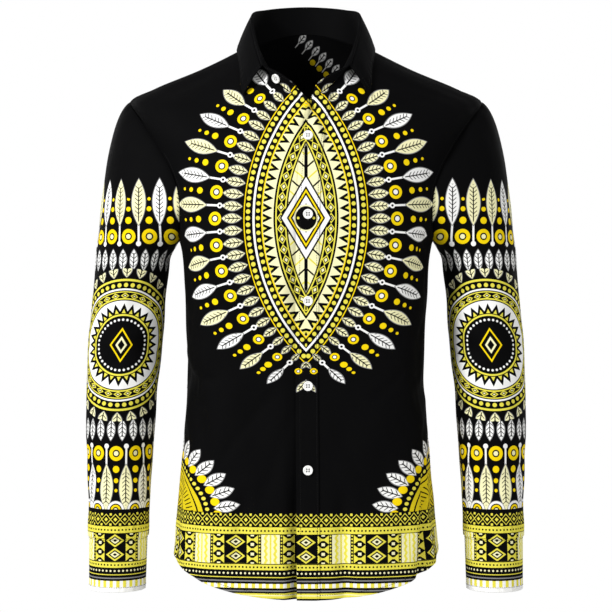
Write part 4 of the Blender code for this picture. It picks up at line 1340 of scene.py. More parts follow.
@dataclass(frozen=True)
class Buttons:
    """Four-hole buttons with their threads, and the worked buttonholes beneath them."""

    radius: float = 6.35
    height: float = 2.5
    dish: float = 0.7
    floor_radius: float = 3.9
    back_round: float = 0.6
    rim_round: float = 0.75
    rim_flat: float = 0.35
    hole: float = 1.0
    hole_place: float = 2.15
    sides: int = 56
    line_x: float = 2.5
    front_rings: tuple[float, ...] = (-78.5, -224.0, -339.0, -448.5, -556.5)
    collar_angle: float = 338.6
    collar_height: float = 0.53
    front_stand_off: float = 0.55
    stand_off: float = 0.7
    thread: float = 0.3
    thread_sunk: float = 0.9
    thread_arch: float = 1.25
    front_lift: float = 0.32
    stitch_lift: float = 0.12
    slit_reach: float = 8.2
    slit_pitch: float = 0.62
    slit_side: float = 0.78
    slit_stitch: tuple[float, float, float] = (0.75, 0.3, 0.22)

    def profile(self) -> Array:
        """(radius, height) from the middle of the back, round the rim, to the middle of the dish.

        Both rims are quarter rounds, and the dish falls from the upper one on an eased curve.
        """
        turn = np.radians(np.linspace(-90, 0, 5))
        low = self.back_round * side_by_side(np.cos(turn), np.sin(turn))
        low += (self.radius - self.back_round, self.back_round)
        high = self.rim_round * side_by_side(np.cos(turn), -np.sin(turn))[::-1]
        high += (self.radius - self.rim_round, self.height - self.rim_round)
        share = np.linspace(0, 1, 9)
        start = self.radius - self.rim_round - self.rim_flat
        across = start + (self.floor_radius - start) * share
        slope = side_by_side(across, self.height - self.dish * eased(share))
        inwards = np.linspace(self.floor_radius, 0, 5)[1:]
        floor = side_by_side(inwards, np.full(len(inwards), self.height - self.dish))
        return np.concatenate([[(0.0, 0.0), (3.0, 0.0)], low, high, slope, floor])

    def blank(self) -> Mesh:
        """A button at the origin, with its four holes cut through."""
        disc = placed("blank", turned_mesh(self.profile(), self.sides))
        above = self.height + 1
        pin = np.array([(0, -1.0), (self.hole, -1.0), (self.hole, above), (0, above)])
        helpers = [disc]
        for quarter in range(4):
            turn = math.radians(45 + 90 * quarter)
            place = Vector((math.cos(turn), math.sin(turn), 0)) * self.hole_place * MM
            mesh = turned_mesh(pin, 20)
            mesh.transform(Matrix.Translation(place))
            hole = placed(f"hole_{quarter}", mesh)
            cut = disc.modifiers.new(hole.name, "BOOLEAN")
            cut.object, cut.operation = hole, "DIFFERENCE"
            helpers.append(hole)
        bpy.context.view_layer.update()
        graph = bpy.context.evaluated_depsgraph_get()
        made = bpy.data.meshes.new_from_object(disc.evaluated_get(graph))
        for helper in helpers:
            bpy.data.objects.remove(helper, do_unlink=True)
        made.shade_smooth()
        made.set_sharp_from_angle(angle=SHARP_BUTTON)
        return made

    def set_button(
        self, shop: Workshop, name: str, mesh: Mesh, at: Array, out: Array, off: float
    ) -> list[Array]:
        """Sets one button off a face, its axis along the face's normal.

        Args:
            shop: The form and the finishes.
            name: Name of its node.
            mesh: The blank.
            at: Point of the face.
            out: The face's normal there.
            off: Gap between the face and the button's back.

        Returns:
            Its threads: four strands over the dish in two pairs, and four of the shank.
        """
        out = Vector(out).normalized()
        across = out.cross(Vector((0, 0, 1))).normalized()
        turn = Matrix((-across, across.cross(out), out)).transposed()
        base = Vector(at) + out * off
        made = mesh.copy()
        made.transform(turn.to_4x4())
        made.transform(Matrix.Translation(base * MM))
        made.materials.clear()
        made.materials.append(shop.materials["button"])
        shop.dress(placed("shirt_" + name, made), name)

        place = self.hole_place / math.sqrt(2)
        share = np.linspace(0, 1, 9)
        arch = self.thread_arch * np.sin(math.pi * share) ** 0.5
        over = self.height - self.dish - self.thread_sunk + arch
        across_holes = (2 * share - 1) * (place + 0.1)
        apart, shank = (-0.17, 0.17), (-0.6, 0.6)
        paths = [side_by_side(x + shift, across_holes, over) for x in (-place, place) for shift in apart]
        paths += [side_by_side(x, y, (off + 0.5) * share - off) for x in shank for y in shank]
        return [path @ np.array(turn).T + np.array(base) for path in paths]

    def build(
        self, shop: Workshop, collar: Collar, stand: tuple[Array, Face], sleeves: Sleeves,
        cuffs: dict[str, Face],
    ) -> None:
        """Sets the front buttons, the collar's and the cuffs', with threads and buttonholes.

        Args:
            shop: The form, the cloth and the finishes.
            collar: The collar.
            stand: Angles of the stand's columns, and its outer face.
            sleeves: The sleeves.
            cuffs: Outer face of each cuff.
        """
        form, cloth = shop.form, shop.cloth
        mesh = self.blank()
        lift = cloth.wall + cloth.layer_gap
        threads, holes = [], []
        for number, ring in enumerate(self.front_rings, start=1):
            angle = float(form.angle_at(self.line_x, np.array([ring]))[0])
            at, out = form.point(angle, ring, lift), form.normal(angle, ring)
            name = f"button_front_{number}"
            threads += self.set_button(shop, name, mesh, at, out, self.front_stand_off)
            below = form.point(angle, ring - 1.0, lift) - at
            holes.append((at + self.front_lift * out, out, unit(below)))
        angles, face = stand
        column = float(np.interp(self.collar_angle, angles, np.arange(len(angles))))
        spots = {"button_collar": (face, self.collar_height * collar.stand_rows, column)}
        column = (sleeves.cuff_start - (sleeves.button_turn - 360)) / sleeves.cuff_step * FINE
        for name, cuff in cuffs.items():
            spots["button_cuff_" + name] = (cuff, sleeves.cuff_rows / 2, column)
        for name, (face, row, column) in spots.items():
            at, out = face.at(row, column)
            threads += self.set_button(shop, name, mesh, at, out, self.stand_off)
            ahead = face.at(row, column + 1)[0]
            holes.append((at + self.stitch_lift * out, out, unit(ahead - at)))
        finish = shop.materials["white_thread"]
        strands = tube_mesh("shirt_button_threads", threads, self.thread / 2, finish)
        shop.dress(strands)
        self.build_buttonholes(shop, holes)

    def build_buttonholes(self, shop: Workshop, holes: list[tuple[Array, Array, Array]]) -> None:
        """Worked buttonholes: two rows of close cross stitches beside the slit, and end bars.

        Args:
            shop: The finishes.
            holes: Middle, cloth normal and direction of each slit.
        """
        side_steps = np.arange(-self.slit_reach, self.slit_reach + 0.1, self.slit_pitch)
        end_steps = np.array([-0.6, 0.0, 0.0, 0.6]) + np.array([-1, -1, 1, 1]) * self.slit_reach
        steps = np.concatenate([side_steps, side_steps, end_steps])
        sides = np.array([1, -1, 0]) * self.slit_side
        beside = np.repeat(sides, [len(side_steps), len(side_steps), 4])
        centres, along, out = [], [], []
        for at, normal, direction in holes:
            across = np.cross(normal, direction)
            centres.append(at + direction * steps[:, None] + across * beside[:, None])
            along.append(np.broadcast_to(across, (len(steps), 3)))
            out.append(np.broadcast_to(normal, (len(steps), 3)))
        name, halves = "shirt_buttonholes", self.slit_stitch
        shop.dress(stitch_mesh(name, centres, along, out, halves, shop.materials))


def turned_mesh(profile: Array, sides: int) -> Mesh:
    """A body turned round Z from a profile of (radius, height) whose ends lie on the axis."""
    angles = math.tau * np.arange(sides) / sides
    ring = side_by_side(np.cos(angles), np.sin(angles))
    middle = profile[1:-1]
    heights = np.broadcast_to(middle[:, None, 1:], (len(middle), sides, 1))
    points = np.concatenate([middle[:, None, :1] * ring[None], heights], axis=-1).reshape(-1, 3)
    points = np.concatenate([points, [[0, 0, profile[0, 1]], [0, 0, profile[-1, 1]]]])
    low, high, last = len(points) - 2, len(points) - 1, (len(middle) - 1) * sides
    faces = grid_quads(len(middle), sides, True).tolist()
    faces += [[low, (i + 1) % sides, i] for i in range(sides)]
    faces += [[high, last + i, last + (i + 1) % sides] for i in range(sides)]
    mesh = bpy.data.meshes.new("turned")
    mesh.from_pydata((points * MM).tolist(), [], faces)
    face_outwards(mesh)
    return mesh


def tube_mesh(name: str, paths: list[Array], radius: float, material: Material) -> Object:
    """Thin six-sided tubes along paths, as one mesh with closed ends."""
    angles = math.tau * np.arange(6) / 6
    points, quads, start = [], [], 0
    for path in paths:
        along = unit(np.gradient(path, axis=0))
        across = unit(np.cross(along, np.array([0.31, 0.2, 0.93])))
        beside = np.cross(along, across)
        ring = across[:, None] * np.cos(angles)[:, None] + beside[:, None] * np.sin(angles)[:, None]
        points.append((path[:, None] + ring * radius).reshape(-1, 3))
        quads.append(grid_quads(len(path), 6, True, start))
        for first in (start, start + (len(path) - 1) * 6):
            quads.append(first + np.array([[0, 1, 2, 3], [0, 3, 4, 5]]))
        start += len(path) * 6
    return mesh_object(name, np.concatenate(points), np.concatenate(quads), material)


def stitch_mesh(
    name: str, centres: list[Array], along: list[Array], out: list[Array],
    halves: tuple[float, float, float], materials: dict[str, Material],
) -> Object:
    """Many stitches as one mesh.

    Each is a four-sided bead of five stations that swells in the middle, and whose ends dip
    into the cloth.

    Args:
        name: Name of the piece.
        centres: Middles of the stitches, in runs.
        along: Their directions.
        out: The cloth's normals there.
        halves: Half of a stitch's length, width and height.
        materials: The finishes.

    Returns:
        The object.
    """
    half_length, half_width, half_height = halves
    centres, along, out = (np.concatenate(runs) for runs in (centres, along, out))
    along, out = unit(along), unit(out)
    across = unit(np.cross(out, along))
    stations = np.array([-1.0, -0.72, 0.0, 0.72, 1.0])
    swell = np.array([0.35, 0.85, 1.0, 0.85, 0.35])
    dip = np.array([-0.22, 0.02, 0.1, 0.02, -0.22])
    spine = centres[:, None] + along[:, None] * (stations * half_length)[None, :, None]
    spine = spine + out[:, None] * dip[None, :, None]
    wide = across[:, None, None] * (np.array([1, 0, -1, 0]) * half_width)[None, None, :, None]
    tall = out[:, None, None] * (np.array([0, 1, 0, -1]) * half_height)[None, None, :, None]
    points = spine[:, :, None] + (wide + tall) * swell[None, :, None, None]
    each = np.concatenate([grid_quads(5, 4, True), [[3, 2, 1, 0], [16, 17, 18, 19]]])
    quads = (each[None] + 20 * np.arange(len(centres))[:, None, None]).reshape(-1, 4)
    return mesh_object(name, points.reshape(-1, 3), quads, materials["thread"])


def sew_rows(shop: Workshop) -> None:
    """Sews every kept stitch row, with stitches at an even pitch along it, as one piece."""
    centres, along, out = [], [], []
    sewing = shop.sewing
    for points, normals in shop.rows:
        steps = np.linalg.norm(np.diff(points, axis=0), axis=1)
        lengths = np.concatenate([[0], np.cumsum(steps)])
        count = max(int(lengths[-1] / sewing.pitch), 1)
        at = (np.arange(count) + 0.5) * lengths[-1] / count
        before, after, normal = (
            np.stack([np.interp(at + shift, lengths, column) for column in grid.T], axis=-1)
            for grid, shift in ((points, -0.5), (points, 0.5), (normals, 0.0))
        )
        centres.append((before + after) / 2 + sewing.lift * normal)
        along.append(after - before)
        out.append(normal)
    halves = (sewing.length / 2, sewing.half_width, sewing.half_height)
    shop.dress(stitch_mesh("shirt_stitches", centres, along, out, halves, shop.materials))


# Node trees


@dataclass(frozen=True)
class Signal:
    """A number that a node tree works out. Its operators add the Math nodes for it."""

    tree: NodeTree
    socket: NodeSocket

    def op(self, operation: str, *others: Signal | float, clamp: bool = False) -> Signal:
        """Adds one Math node, which takes this number first."""
        node = self.tree.nodes.new("ShaderNodeMath")
        node.operation, node.use_clamp = operation, clamp
        for socket, value in zip(node.inputs, (self, *others)):
            if isinstance(value, Signal):
                self.tree.links.new(value.socket, socket)
            else:
                socket.default_value = float(value)
        return Signal(self.tree, node.outputs["Value"])

    # Operators: the last two take both masks, or either
    __add__ = partialmethod(op, "ADD")
    __sub__ = partialmethod(op, "SUBTRACT")
    __mul__ = partialmethod(op, "MULTIPLY")
    __truediv__ = partialmethod(op, "DIVIDE")
    __abs__ = partialmethod(op, "ABSOLUTE")
    __and__ = partialmethod(op, "MINIMUM")
    __or__ = partialmethod(op, "MAXIMUM")

    def scaled(self, factor: float, shift: float, clamp: bool = False) -> Signal:
        """This number times a factor, plus a shift."""
        return self.op("MULTIPLY_ADD", factor, shift, clamp=clamp)

    def repeated(self, pitch: float) -> Signal:
        """This number counted from the nearest multiple of a pitch."""
        return self.op("WRAP", pitch / 2, -pitch / 2)

    def above(self, edge: float, soft: float = 0.4) -> Signal:
        """Mask of where this number is over an edge, with a narrow ramp."""
        return self.scaled(1 / soft, 0.5 - edge / soft, clamp=True)

    def below(self, edge: float, soft: float = 0.4) -> Signal:
        """Mask of where this number is under an edge, with a narrow ramp."""
        return self.scaled(-1 / soft, 0.5 + edge / soft, clamp=True)

    def within(self, low: float, high: float, soft: float = 0.4) -> Signal:
        """Mask of where this number lies between two edges."""
        return abs(self - (low + high) / 2).below((high - low) / 2, soft)

    def length_with(self, other: Signal) -> Signal:
        """Root of the sum of the two squares."""
        return self.op("MULTIPLY_ADD", self, other * other).op("SQRT")


class Group:
    """A shader node group in the making: its tree and its inputs."""

    def __init__(
        self, name: str, inputs: tuple[str, ...] = ("Across", "Height"),
        outputs: tuple[str, ...] = ("Colour",), output_kind: str = "NodeSocketColor",
    ) -> None:
        """Makes the group's sockets.

        Args:
            name: Name of the group.
            inputs: Names of its number inputs.
            outputs: Names of its outputs.
            output_kind: Socket type of the outputs.
        """
        self.tree = bpy.data.node_groups.new(name, "ShaderNodeTree")
        for label in inputs:
            self.tree.interface.new_socket(label, in_out="INPUT", socket_type="NodeSocketFloat")
        for label in outputs:
            self.tree.interface.new_socket(label, in_out="OUTPUT", socket_type=output_kind)
        self._source = self.tree.nodes.new("NodeGroupInput")
        self._end = self.tree.nodes.new("NodeGroupOutput")

    def read(self, label: str) -> Signal:
        """One of the inputs."""
        return Signal(self.tree, self._source.outputs[label])

    def place(self) -> tuple[Signal, Signal]:
        """The place on a print or a weave, across and up, in millimetres."""
        return self.read("Across") * 1000, self.read("Height") * 1000

    def give(self, label: str, value: Signal | Paint) -> None:
        """Sends a number or a colour to an output."""
        self.tree.links.new(value.socket, self._end.inputs[label])


def set_inputs(node: Node, values: dict[str, float | tuple[float, ...]]) -> None:
    """Sets a node's inputs by name. A colour has three numbers."""
    for label, value in values.items():
        node.inputs[label].default_value = (*value, 1.0) if isinstance(value, tuple) else value


def use_group(tree: NodeTree, group: Group, **inputs: Signal | float) -> Node:
    """Adds a group to a tree and fills its inputs."""
    node = tree.nodes.new("ShaderNodeGroup")
    node.node_tree = group.tree
    for label, value in inputs.items():
        if isinstance(value, Signal):
            tree.links.new(value.socket, node.inputs[label])
        else:
            node.inputs[label].default_value = float(value)
    return node


@dataclass
class Paint:
    """A colour that a node tree builds up, layer by layer."""

    tree: NodeTree
    socket: NodeSocket

    @classmethod
    def plain(cls, tree: NodeTree, colour: Colour) -> Paint:
        """One colour all over."""
        node = tree.nodes.new("ShaderNodeRGB")
        node.outputs["Color"].default_value = (*colour, 1.0)
        return cls(tree, node.outputs["Color"])

    def lay(self, mask: Signal, colour: Colour | Paint) -> None:
        """Paints over what is there where the mask is 1."""
        mix = self.tree.nodes.new("ShaderNodeMix")
        mix.data_type = "RGBA"
        self.tree.links.new(mask.socket, mix.inputs["Factor"])
        first, second = (socket for socket in mix.inputs if socket.type == "RGBA")
        self.tree.links.new(self.socket, first)
        if isinstance(colour, Paint):
            self.tree.links.new(colour.socket, second)
        else:
            second.default_value = (*colour, 1.0)
        self.socket = next(socket for socket in mix.outputs if socket.type == "RGBA")


def bands(signal: Signal, low: float, high: float, stops: tuple[tuple[float, Colour], ...]) -> Paint:
    """Colours by steps: each colour holds from its stop to the next.

    Args:
        signal: The number that picks the colour.
        low: Where the ramp starts.
        high: Where it ends.
        stops: Start of each step with its colour, rising, the first one at low.

    Returns:
        The colour.
    """
    ramp = signal.tree.nodes.new("ShaderNodeValToRGB")
    ramp.color_ramp.interpolation = "CONSTANT"
    elements = ramp.color_ramp.elements
    while len(elements) > 1:
        elements.remove(elements[-1])
    elements[0].position, elements[0].color = 0.0, (*stops[0][1], 1.0)
    for start, colour in stops[1:]:
        elements.new((start - low) / (high - low)).color = (*colour, 1.0)
    share = signal.scaled(1 / (high - low), -low / (high - low))
    signal.tree.links.new(share.socket, ramp.inputs["Fac"])
    return Paint(signal.tree, ramp.outputs["Color"])


# The print, in millimetres


@dataclass(frozen=True)
class Inks:
    """The colours of the print."""

    black: Colour = (0.0020, 0.0020, 0.0022)
    yellow: Colour = (0.84, 0.61, 0.004)
    lemon: Colour = (0.72, 0.65, 0.07)
    gold: Colour = (0.66, 0.52, 0.012)
    cream: Colour = (0.82, 0.79, 0.47)
    white: Colour = (0.84, 0.84, 0.82)
    grey: Colour = (0.20, 0.20, 0.20)
    # The last two are the print's white and yellow dimmed: painted shade, for the row inside the back of
    # the neck.
    pale: Colour = (0.36, 0.36, 0.35)
    shaded_yellow: Colour = (0.42, 0.31, 0.003)


@dataclass(frozen=True)
class PrintDesign:
    """A geometric print: a pointed oval on the chest, fans on the hem, rings on the sleeves.

    Its groups take Across, the girth from the centre line, and Height, both in metres.
    """

    inks: Inks = Inks()
    leaf_veins: float = 5.5
    oval_beyond: float = 179.2
    oval_radius: float = 247.7
    oval_middle: float = -233.0
    halo: float = 116.0
    medallion_middle: float = -397.0
    fan_middle: float = -622.0

    def leaf(self) -> Group:
        """A pointed leaf: its half width is a parabola of the rise, with veins and a midrib.

        Inputs are Side, the distance from its midrib, Rise, from 0 at its foot to 1 at its tip,
        Half, its widest half width, and Length.
        """
        sizes, masks = ("Side", "Rise", "Half", "Length"), ("Body", "Edge", "Rib")
        group = Group("Leaf", sizes, masks, "NodeSocketFloat")
        side, rise = abs(group.read("Side")), group.read("Rise")
        bow = rise.scaled(2, -1)
        inside = group.read("Half") * (bow * bow).scaled(-1, 1) - side
        group.give("Edge", inside.above(0))
        body = inside.above(1.1)
        group.give("Body", body)
        climb = rise * group.read("Length") - side * 0.9
        veins = abs(climb.repeated(self.leaf_veins)).below(0.65) & rise.within(0.2, 0.86, 0.04)
        rib = side.below(0.75) & rise.within(0.1, 0.8, 0.04)
        group.give("Rib", rib | (veins & side.below(5.0)))
        return group

    def lay_leaf(
        self, paint: Paint, leaf: Group, side: Signal, rise: Signal, half: Signal | float,
        length: Signal | float, colour: Colour, creamy: Signal | None = None,
    ) -> None:
        """Paints a leaf: a thin grey edge, the body and its black ribs.

        Args:
            paint: What it is painted on.
            leaf: The leaf group.
            side: Distance from the midrib.
            rise: Share of the way from foot to tip.
            half: Widest half width.
            length: Length.
            colour: Colour of the body.
            creamy: Mask of where the body is cream instead.
        """
        node = use_group(paint.tree, leaf, Side=side, Rise=rise, Half=half, Length=length)
        edge, body, rib = (Signal(paint.tree, node.outputs[label]) for label in ("Edge", "Body", "Rib"))
        paint.lay(edge, self.inks.grey)
        paint.lay(body, colour)
        if creamy:
            paint.lay(body & creamy, self.inks.cream)
        paint.lay(body & rib, self.inks.black)

    def lay_disc(
        self, paint: Paint, side: Signal, off: Signal, rings: tuple[tuple[float, Colour], ...]
    ) -> None:
        """Paints nested discs, the largest first."""
        away = side.length_with(off)
        for radius, colour in rings:
            paint.lay(away.below(radius), colour)

    def lay_diamonds(
        self, paint: Paint, side: Signal, off: Signal, sizes: tuple[float, float],
        rings: tuple[tuple[float, Colour], ...], where: Signal | None = None,
    ) -> None:
        """Paints nested diamonds of a half width and half height, at shares of that size."""
        away = abs(side / sizes[0]) + abs(off / sizes[1])
        for share, colour in rings:
            mask = away.below(share, 0.4 / min(sizes))
            paint.lay(mask & where if where else mask, colour)

    def border(self) -> Group:
        """The bands along the hem and the cuffs: lozenge chain, panels, dots and stripes."""
        inks = self.inks
        group = Group("Border")
        across, height = group.read("Across"), group.read("Height")
        down = height.scaled(-1, 0)
        black, lemon, grey = inks.black, inks.lemon, inks.grey
        paint = bands(down, 600, 740, (
            (600, black), (629.5, lemon), (638.2, black), (639.2, lemon), (676.0, black), (677.0, lemon),
            (684.2, black), (692.6, lemon), (693.8, black), (697.2, grey), (698.8, black), (701.6, lemon),
            (707.0, black), (709.4, grey), (711.2, black), (713.4, lemon), (720.0, black),
        ))
        self.lay_diamonds(paint, across.repeated(13.0), down - 620.3, (7.4, 7.6), (
            (1.0, inks.lemon), (0.82, inks.black), (0.36, inks.lemon),
        ))
        between = abs((across + 6.5).repeated(13.0))
        for row in (613.6, 627.0):
            paint.lay(between.below(1.5) & (down - row).within(-1.5, 1.5), inks.lemon)
        for row in (634.2, 680.6):
            paint.lay(across.repeated(4.8).length_with(down - row).below(1.25), inks.black)

        place = abs(across.repeated(91.0))
        rise = down - 657.6
        panel = abs(rise).below(18.4)
        # Pale stripes, with a notched edge, at the ends of each repeat
        ends = place.above(33.0) & panel
        paint.lay(ends, inks.cream)
        wave = (rise * (math.tau / 8.0)).op("SINE") * 0.9
        paint.lay(abs(place - 39.4 + wave).below(1.7) & ends, inks.lemon)
        paint.lay(place.above(44.4) & ends, inks.lemon)
        # Nested diamonds in the middle
        middle = place.below(13.5) & panel
        paint.lay(middle, inks.black)
        self.lay_diamonds(paint, place, (rise + 9.2).repeated(18.4), (12.4, 8.8), (
            (1.0, inks.lemon), (0.72, inks.black), (0.5, inks.cream), (0.24, inks.black),
        ), middle)
        # Hourglasses between the two
        beside, step = abs(place - 22.0), abs(rise.repeated(12.3))
        glass = (beside - step * 1.25).below(0.2) & beside.below(8.0) & panel
        paint.lay(glass, inks.black)
        paint.lay(beside.below(2.2) & step.above(4.3) & panel, inks.cream)
        paint.lay(beside.below(2.2) & step.below(1.2) & panel, inks.lemon)
        for row, half in ((13.9, 0.8), (31.5, 2.1)):
            paint.lay(abs(place - row).below(half) & panel, inks.black)
        paint.lay((place - 31.5).length_with(rise.repeated(4.2)).below(1.1) & panel, inks.lemon)
        paint.lay(across.repeated(5.6).length_with(down - 688.4).below(1.3), inks.cream)
        check = abs(across.repeated(9.0)).below(2.25)
        paint.lay(check & down.within(701.6, 707.0), inks.white)
        paint.lay(down.within(715.9, 717.1), inks.cream)
        group.give("Colour", paint)
        return group

    def body(self, leaf: Group, border: Group) -> Group:
        """The body's print.

        The oval's edge is an arc about a point beyond the centre line, so that out is the
        distance beyond the arc and turn the angle along it. The halo's reach shrinks with the
        square of the turn.
        """
        inks = self.inks
        group = Group("Body print")
        across, height = group.place()
        a = abs(across)
        from_centre, rise_v = a + self.oval_beyond, height - self.oval_middle
        radius = from_centre.length_with(rise_v)
        out = radius - self.oval_radius
        turn = rise_v.op("ARCTAN2", from_centre)
        share = turn / 0.873
        reach = (share.scaled(0.115, -0.495) * share * share).scaled(self.halo, self.halo)
        reach = reach.op("MAXIMUM", 30.0)
        rise = out / reach

        black, cream, lemon = inks.black, inks.cream, inks.lemon
        paint = bands(out, -70, 20, (
            (-70, cream), (-45, black), (-43, lemon), (-41.5, black), (-31, lemon), (-29.5, black),
            (-27, cream), (-13, inks.yellow), (-11, black), (-2.5, inks.white), (0, black),
        ))
        self.lay_core(paint, a, rise_v, out, turn, radius)

        side = turn.repeated(8.5 / 253.7) * 253.7
        self.lay_disc(paint, side, out - 6.2, ((2.9, inks.lemon),))
        arc = out.within(10.6, 11.9)
        paint.lay(arc, inks.yellow)
        side = turn.repeated(0.0575) * radius
        scale = reach / self.halo
        half = scale * 6.8
        self.lay_leaf(paint, leaf, side, rise.scaled(1 / 0.25, -0.115 / 0.25), half,
                      reach * 0.25, inks.cream)
        side = turn.repeated(0.115) * radius
        # The disc that the neck seam would cut, and those that meet at the lower tip, are left out
        at_neck, at_tip = turn.above(0.633, 0.002) * 90.0, turn.below(-0.75, 0.002) * 90.0
        off = (rise - 0.44) * reach + at_neck
        self.lay_disc(paint, side / scale, off / scale, (
            (8.9, inks.yellow), (4.9, inks.black), (3.2, inks.white),
        ))
        shifted = (turn + 0.0575).repeated(0.115) * radius
        paint.lay(abs(shifted).below(1.3) & rise.within(0.33, 0.56, 0.01), inks.white)
        self.lay_disc(paint, shifted, (rise - 0.385) * reach, ((3.6, inks.white), (1.6, inks.black)))
        self.lay_leaf(paint, leaf, shifted, rise.scaled(1 / 0.46, -0.54 / 0.46), scale * 10.4,
                      reach * 0.46, inks.white, abs((turn + 0.0575).repeated(0.23)).above(0.0575, 0.004))
        for height_at, size in ((0.65, 4.2), (0.77, 3.0), (0.87, 2.0)):
            off = (rise - height_at) * reach + at_neck + at_tip
            self.lay_disc(paint, side, off, ((size, inks.yellow),))

        self.lay_fans(paint, leaf, a, height)
        node = use_group(group.tree, border, Across=across, Height=height)
        paint.lay(height.below(-611.5), Paint(group.tree, node.outputs["Colour"]))
        group.give("Colour", paint)
        return group

    def lay_core(
        self, paint: Paint, a: Signal, rise: Signal, out: Signal, turn: Signal, radius: Signal
    ) -> None:
        """What fills the oval: rows along its edge, chevrons, and a nested lozenge."""
        inks = self.inks
        side = turn.repeated(9.4 / 241) * 241
        self.lay_disc(paint, side, out + 6.7, ((2.7, inks.lemon),))
        # Triangles on the cream band, their points to the middle
        side = abs(turn.repeated(0.0566) * radius)
        depth = out.scaled(-1, -13.0)
        band = out.within(-27.0, -13.0)
        paint.lay(side.op("MULTIPLY_ADD", 2.1, depth).below(12.6) & band, inks.black)
        paint.lay(side.op("MULTIPLY_ADD", 2.1, depth).below(5.0) & band, inks.lemon)
        self.lay_diamonds(paint, turn.repeated(0.064) * radius, out + 36.2, (6.8, 5.2), (
            (1.0, inks.lemon), (0.68, inks.black), (0.42, inks.cream),
        ))
        inner = out.below(-45.0)
        chevrons = (abs(rise) - a * 0.9).op("PINGPONG", 8.0).below(1.3)
        paint.lay(chevrons & inner, inks.lemon)
        paint.lay((abs(rise) - a * 0.9).op("PINGPONG", 16.0).below(1.4) & inner, inks.black)
        spine = a.below(2.2) & inner
        paint.lay(spine, inks.black)
        self.lay_diamonds(paint, a, rise, (30.0, 50.0), (
            (1.12, inks.black), (1.04, inks.white), (0.82, inks.black), (0.74, inks.yellow),
            (0.66, inks.black), (0.58, inks.white), (0.38, inks.black), (0.22, inks.yellow),
        ))
        ring = a.length_with(rise * 0.9)
        paint.lay(ring.below(15.5), inks.cream)
        paint.lay(ring.below(13.6), inks.black)
        self.lay_disc(paint, a - 10.0, rise, ((1.7, inks.lemon),))

    def lay_fans(self, paint: Paint, leaf: Group, a: Signal, height: Signal) -> None:
        """A fan on each side of the hem, that meets the other face's fan at the side seam.

        The distance from its middle is half linear in the girth and half a sine of it, so that
        the fan looks round from the front.
        """
        inks = self.inks
        bent = (a * 0.00623).op("SINE").scaled(-89.0, 96.0)
        beside, above = a.scaled(-0.5 / 1.31, 116 / 1.31) + bent, height - self.fan_middle
        away = beside.length_with(above)
        turn = above.op("ARCTAN2", beside)
        edges = 0, 13, 14.5, 34, 35.5, 38, 39.5, 60, 61.5, 66.5
        fan = bands(away, 0, 110, tuple(zip(edges, (inks.gold, inks.black) * 5)))
        spokes = abs(turn.repeated(0.19635) * away)
        fan.lay(spokes.below(0.9) & away.within(18.0, 30.0), inks.black)
        spokes = abs(turn.repeated(0.0982) * away)
        fan.lay(spokes.below(0.7) & away.within(45.0, 56.0), inks.black)
        self.lay_disc(fan, turn.repeated(0.0982) * away, away - 71.8, ((2.3, inks.lemon),))
        self.lay_leaf(fan, leaf, turn.repeated(0.19635) * away, away.scaled(1 / 30, -79 / 30), 7.6,
                      30.0, inks.white)
        self.lay_disc(fan, (turn + 0.0982).repeated(0.19635) * away, away - 82.5, ((5.0, inks.yellow),))
        paint.lay(away.below(109.0) & above.above(0), fan)

    def sleeve(self, leaf: Group, border: Group) -> Group:
        """The sleeves' print: rows of leaves above and below a ringed medallion, and the border."""
        inks = self.inks
        group = Group("Sleeve print")
        across, height = group.place()
        beside, above = across * 0.9, height - self.medallion_middle
        away = beside.length_with(above)
        turn = above.op("ARCTAN2", beside)
        black, lemon, white = inks.black, inks.lemon, inks.white
        paint = bands(away, 0, 120, (
            (0, black), (38, lemon), (40.5, black), (42, white), (58.5, black), (60, lemon),
            (61.5, black), (69, lemon), (70.5, black), (72, white), (74.5, black), (84, lemon),
            (87, black),
        ))
        self.lay_disc(paint, turn.repeated(0.1745) * away, away - 33.4, ((1.6, inks.white),))
        self.lay_diamonds(paint, across, above, (17.0, 23.0), (
            (1.0, inks.yellow), (0.84, inks.black), (0.5, inks.cream), (0.3, inks.black),
        ))
        side = abs(turn.repeated(0.2244) * away)
        ring = away.within(42.0, 58.5)
        paint.lay((side * 2.1 + (away - 42.0)).below(13.0) & ring, inks.black)
        paint.lay((side * 2.1 + (away - 42.0)).below(5.6) & ring, inks.lemon)
        self.lay_diamonds(paint, turn.repeated(0.19635) * away, away - 65.2, (5.6, 3.9), (
            (1.0, inks.lemon), (0.6, inks.black), (0.3, inks.cream),
        ))
        self.lay_disc(paint, turn.repeated(0.1122) * away, away - 79.2, ((2.8, inks.lemon),))
        around = turn.repeated(0.19635) * away
        self.lay_leaf(paint, leaf, around, away.scaled(1 / 25, -88.5 / 25), 7.4, 25.0, inks.cream)

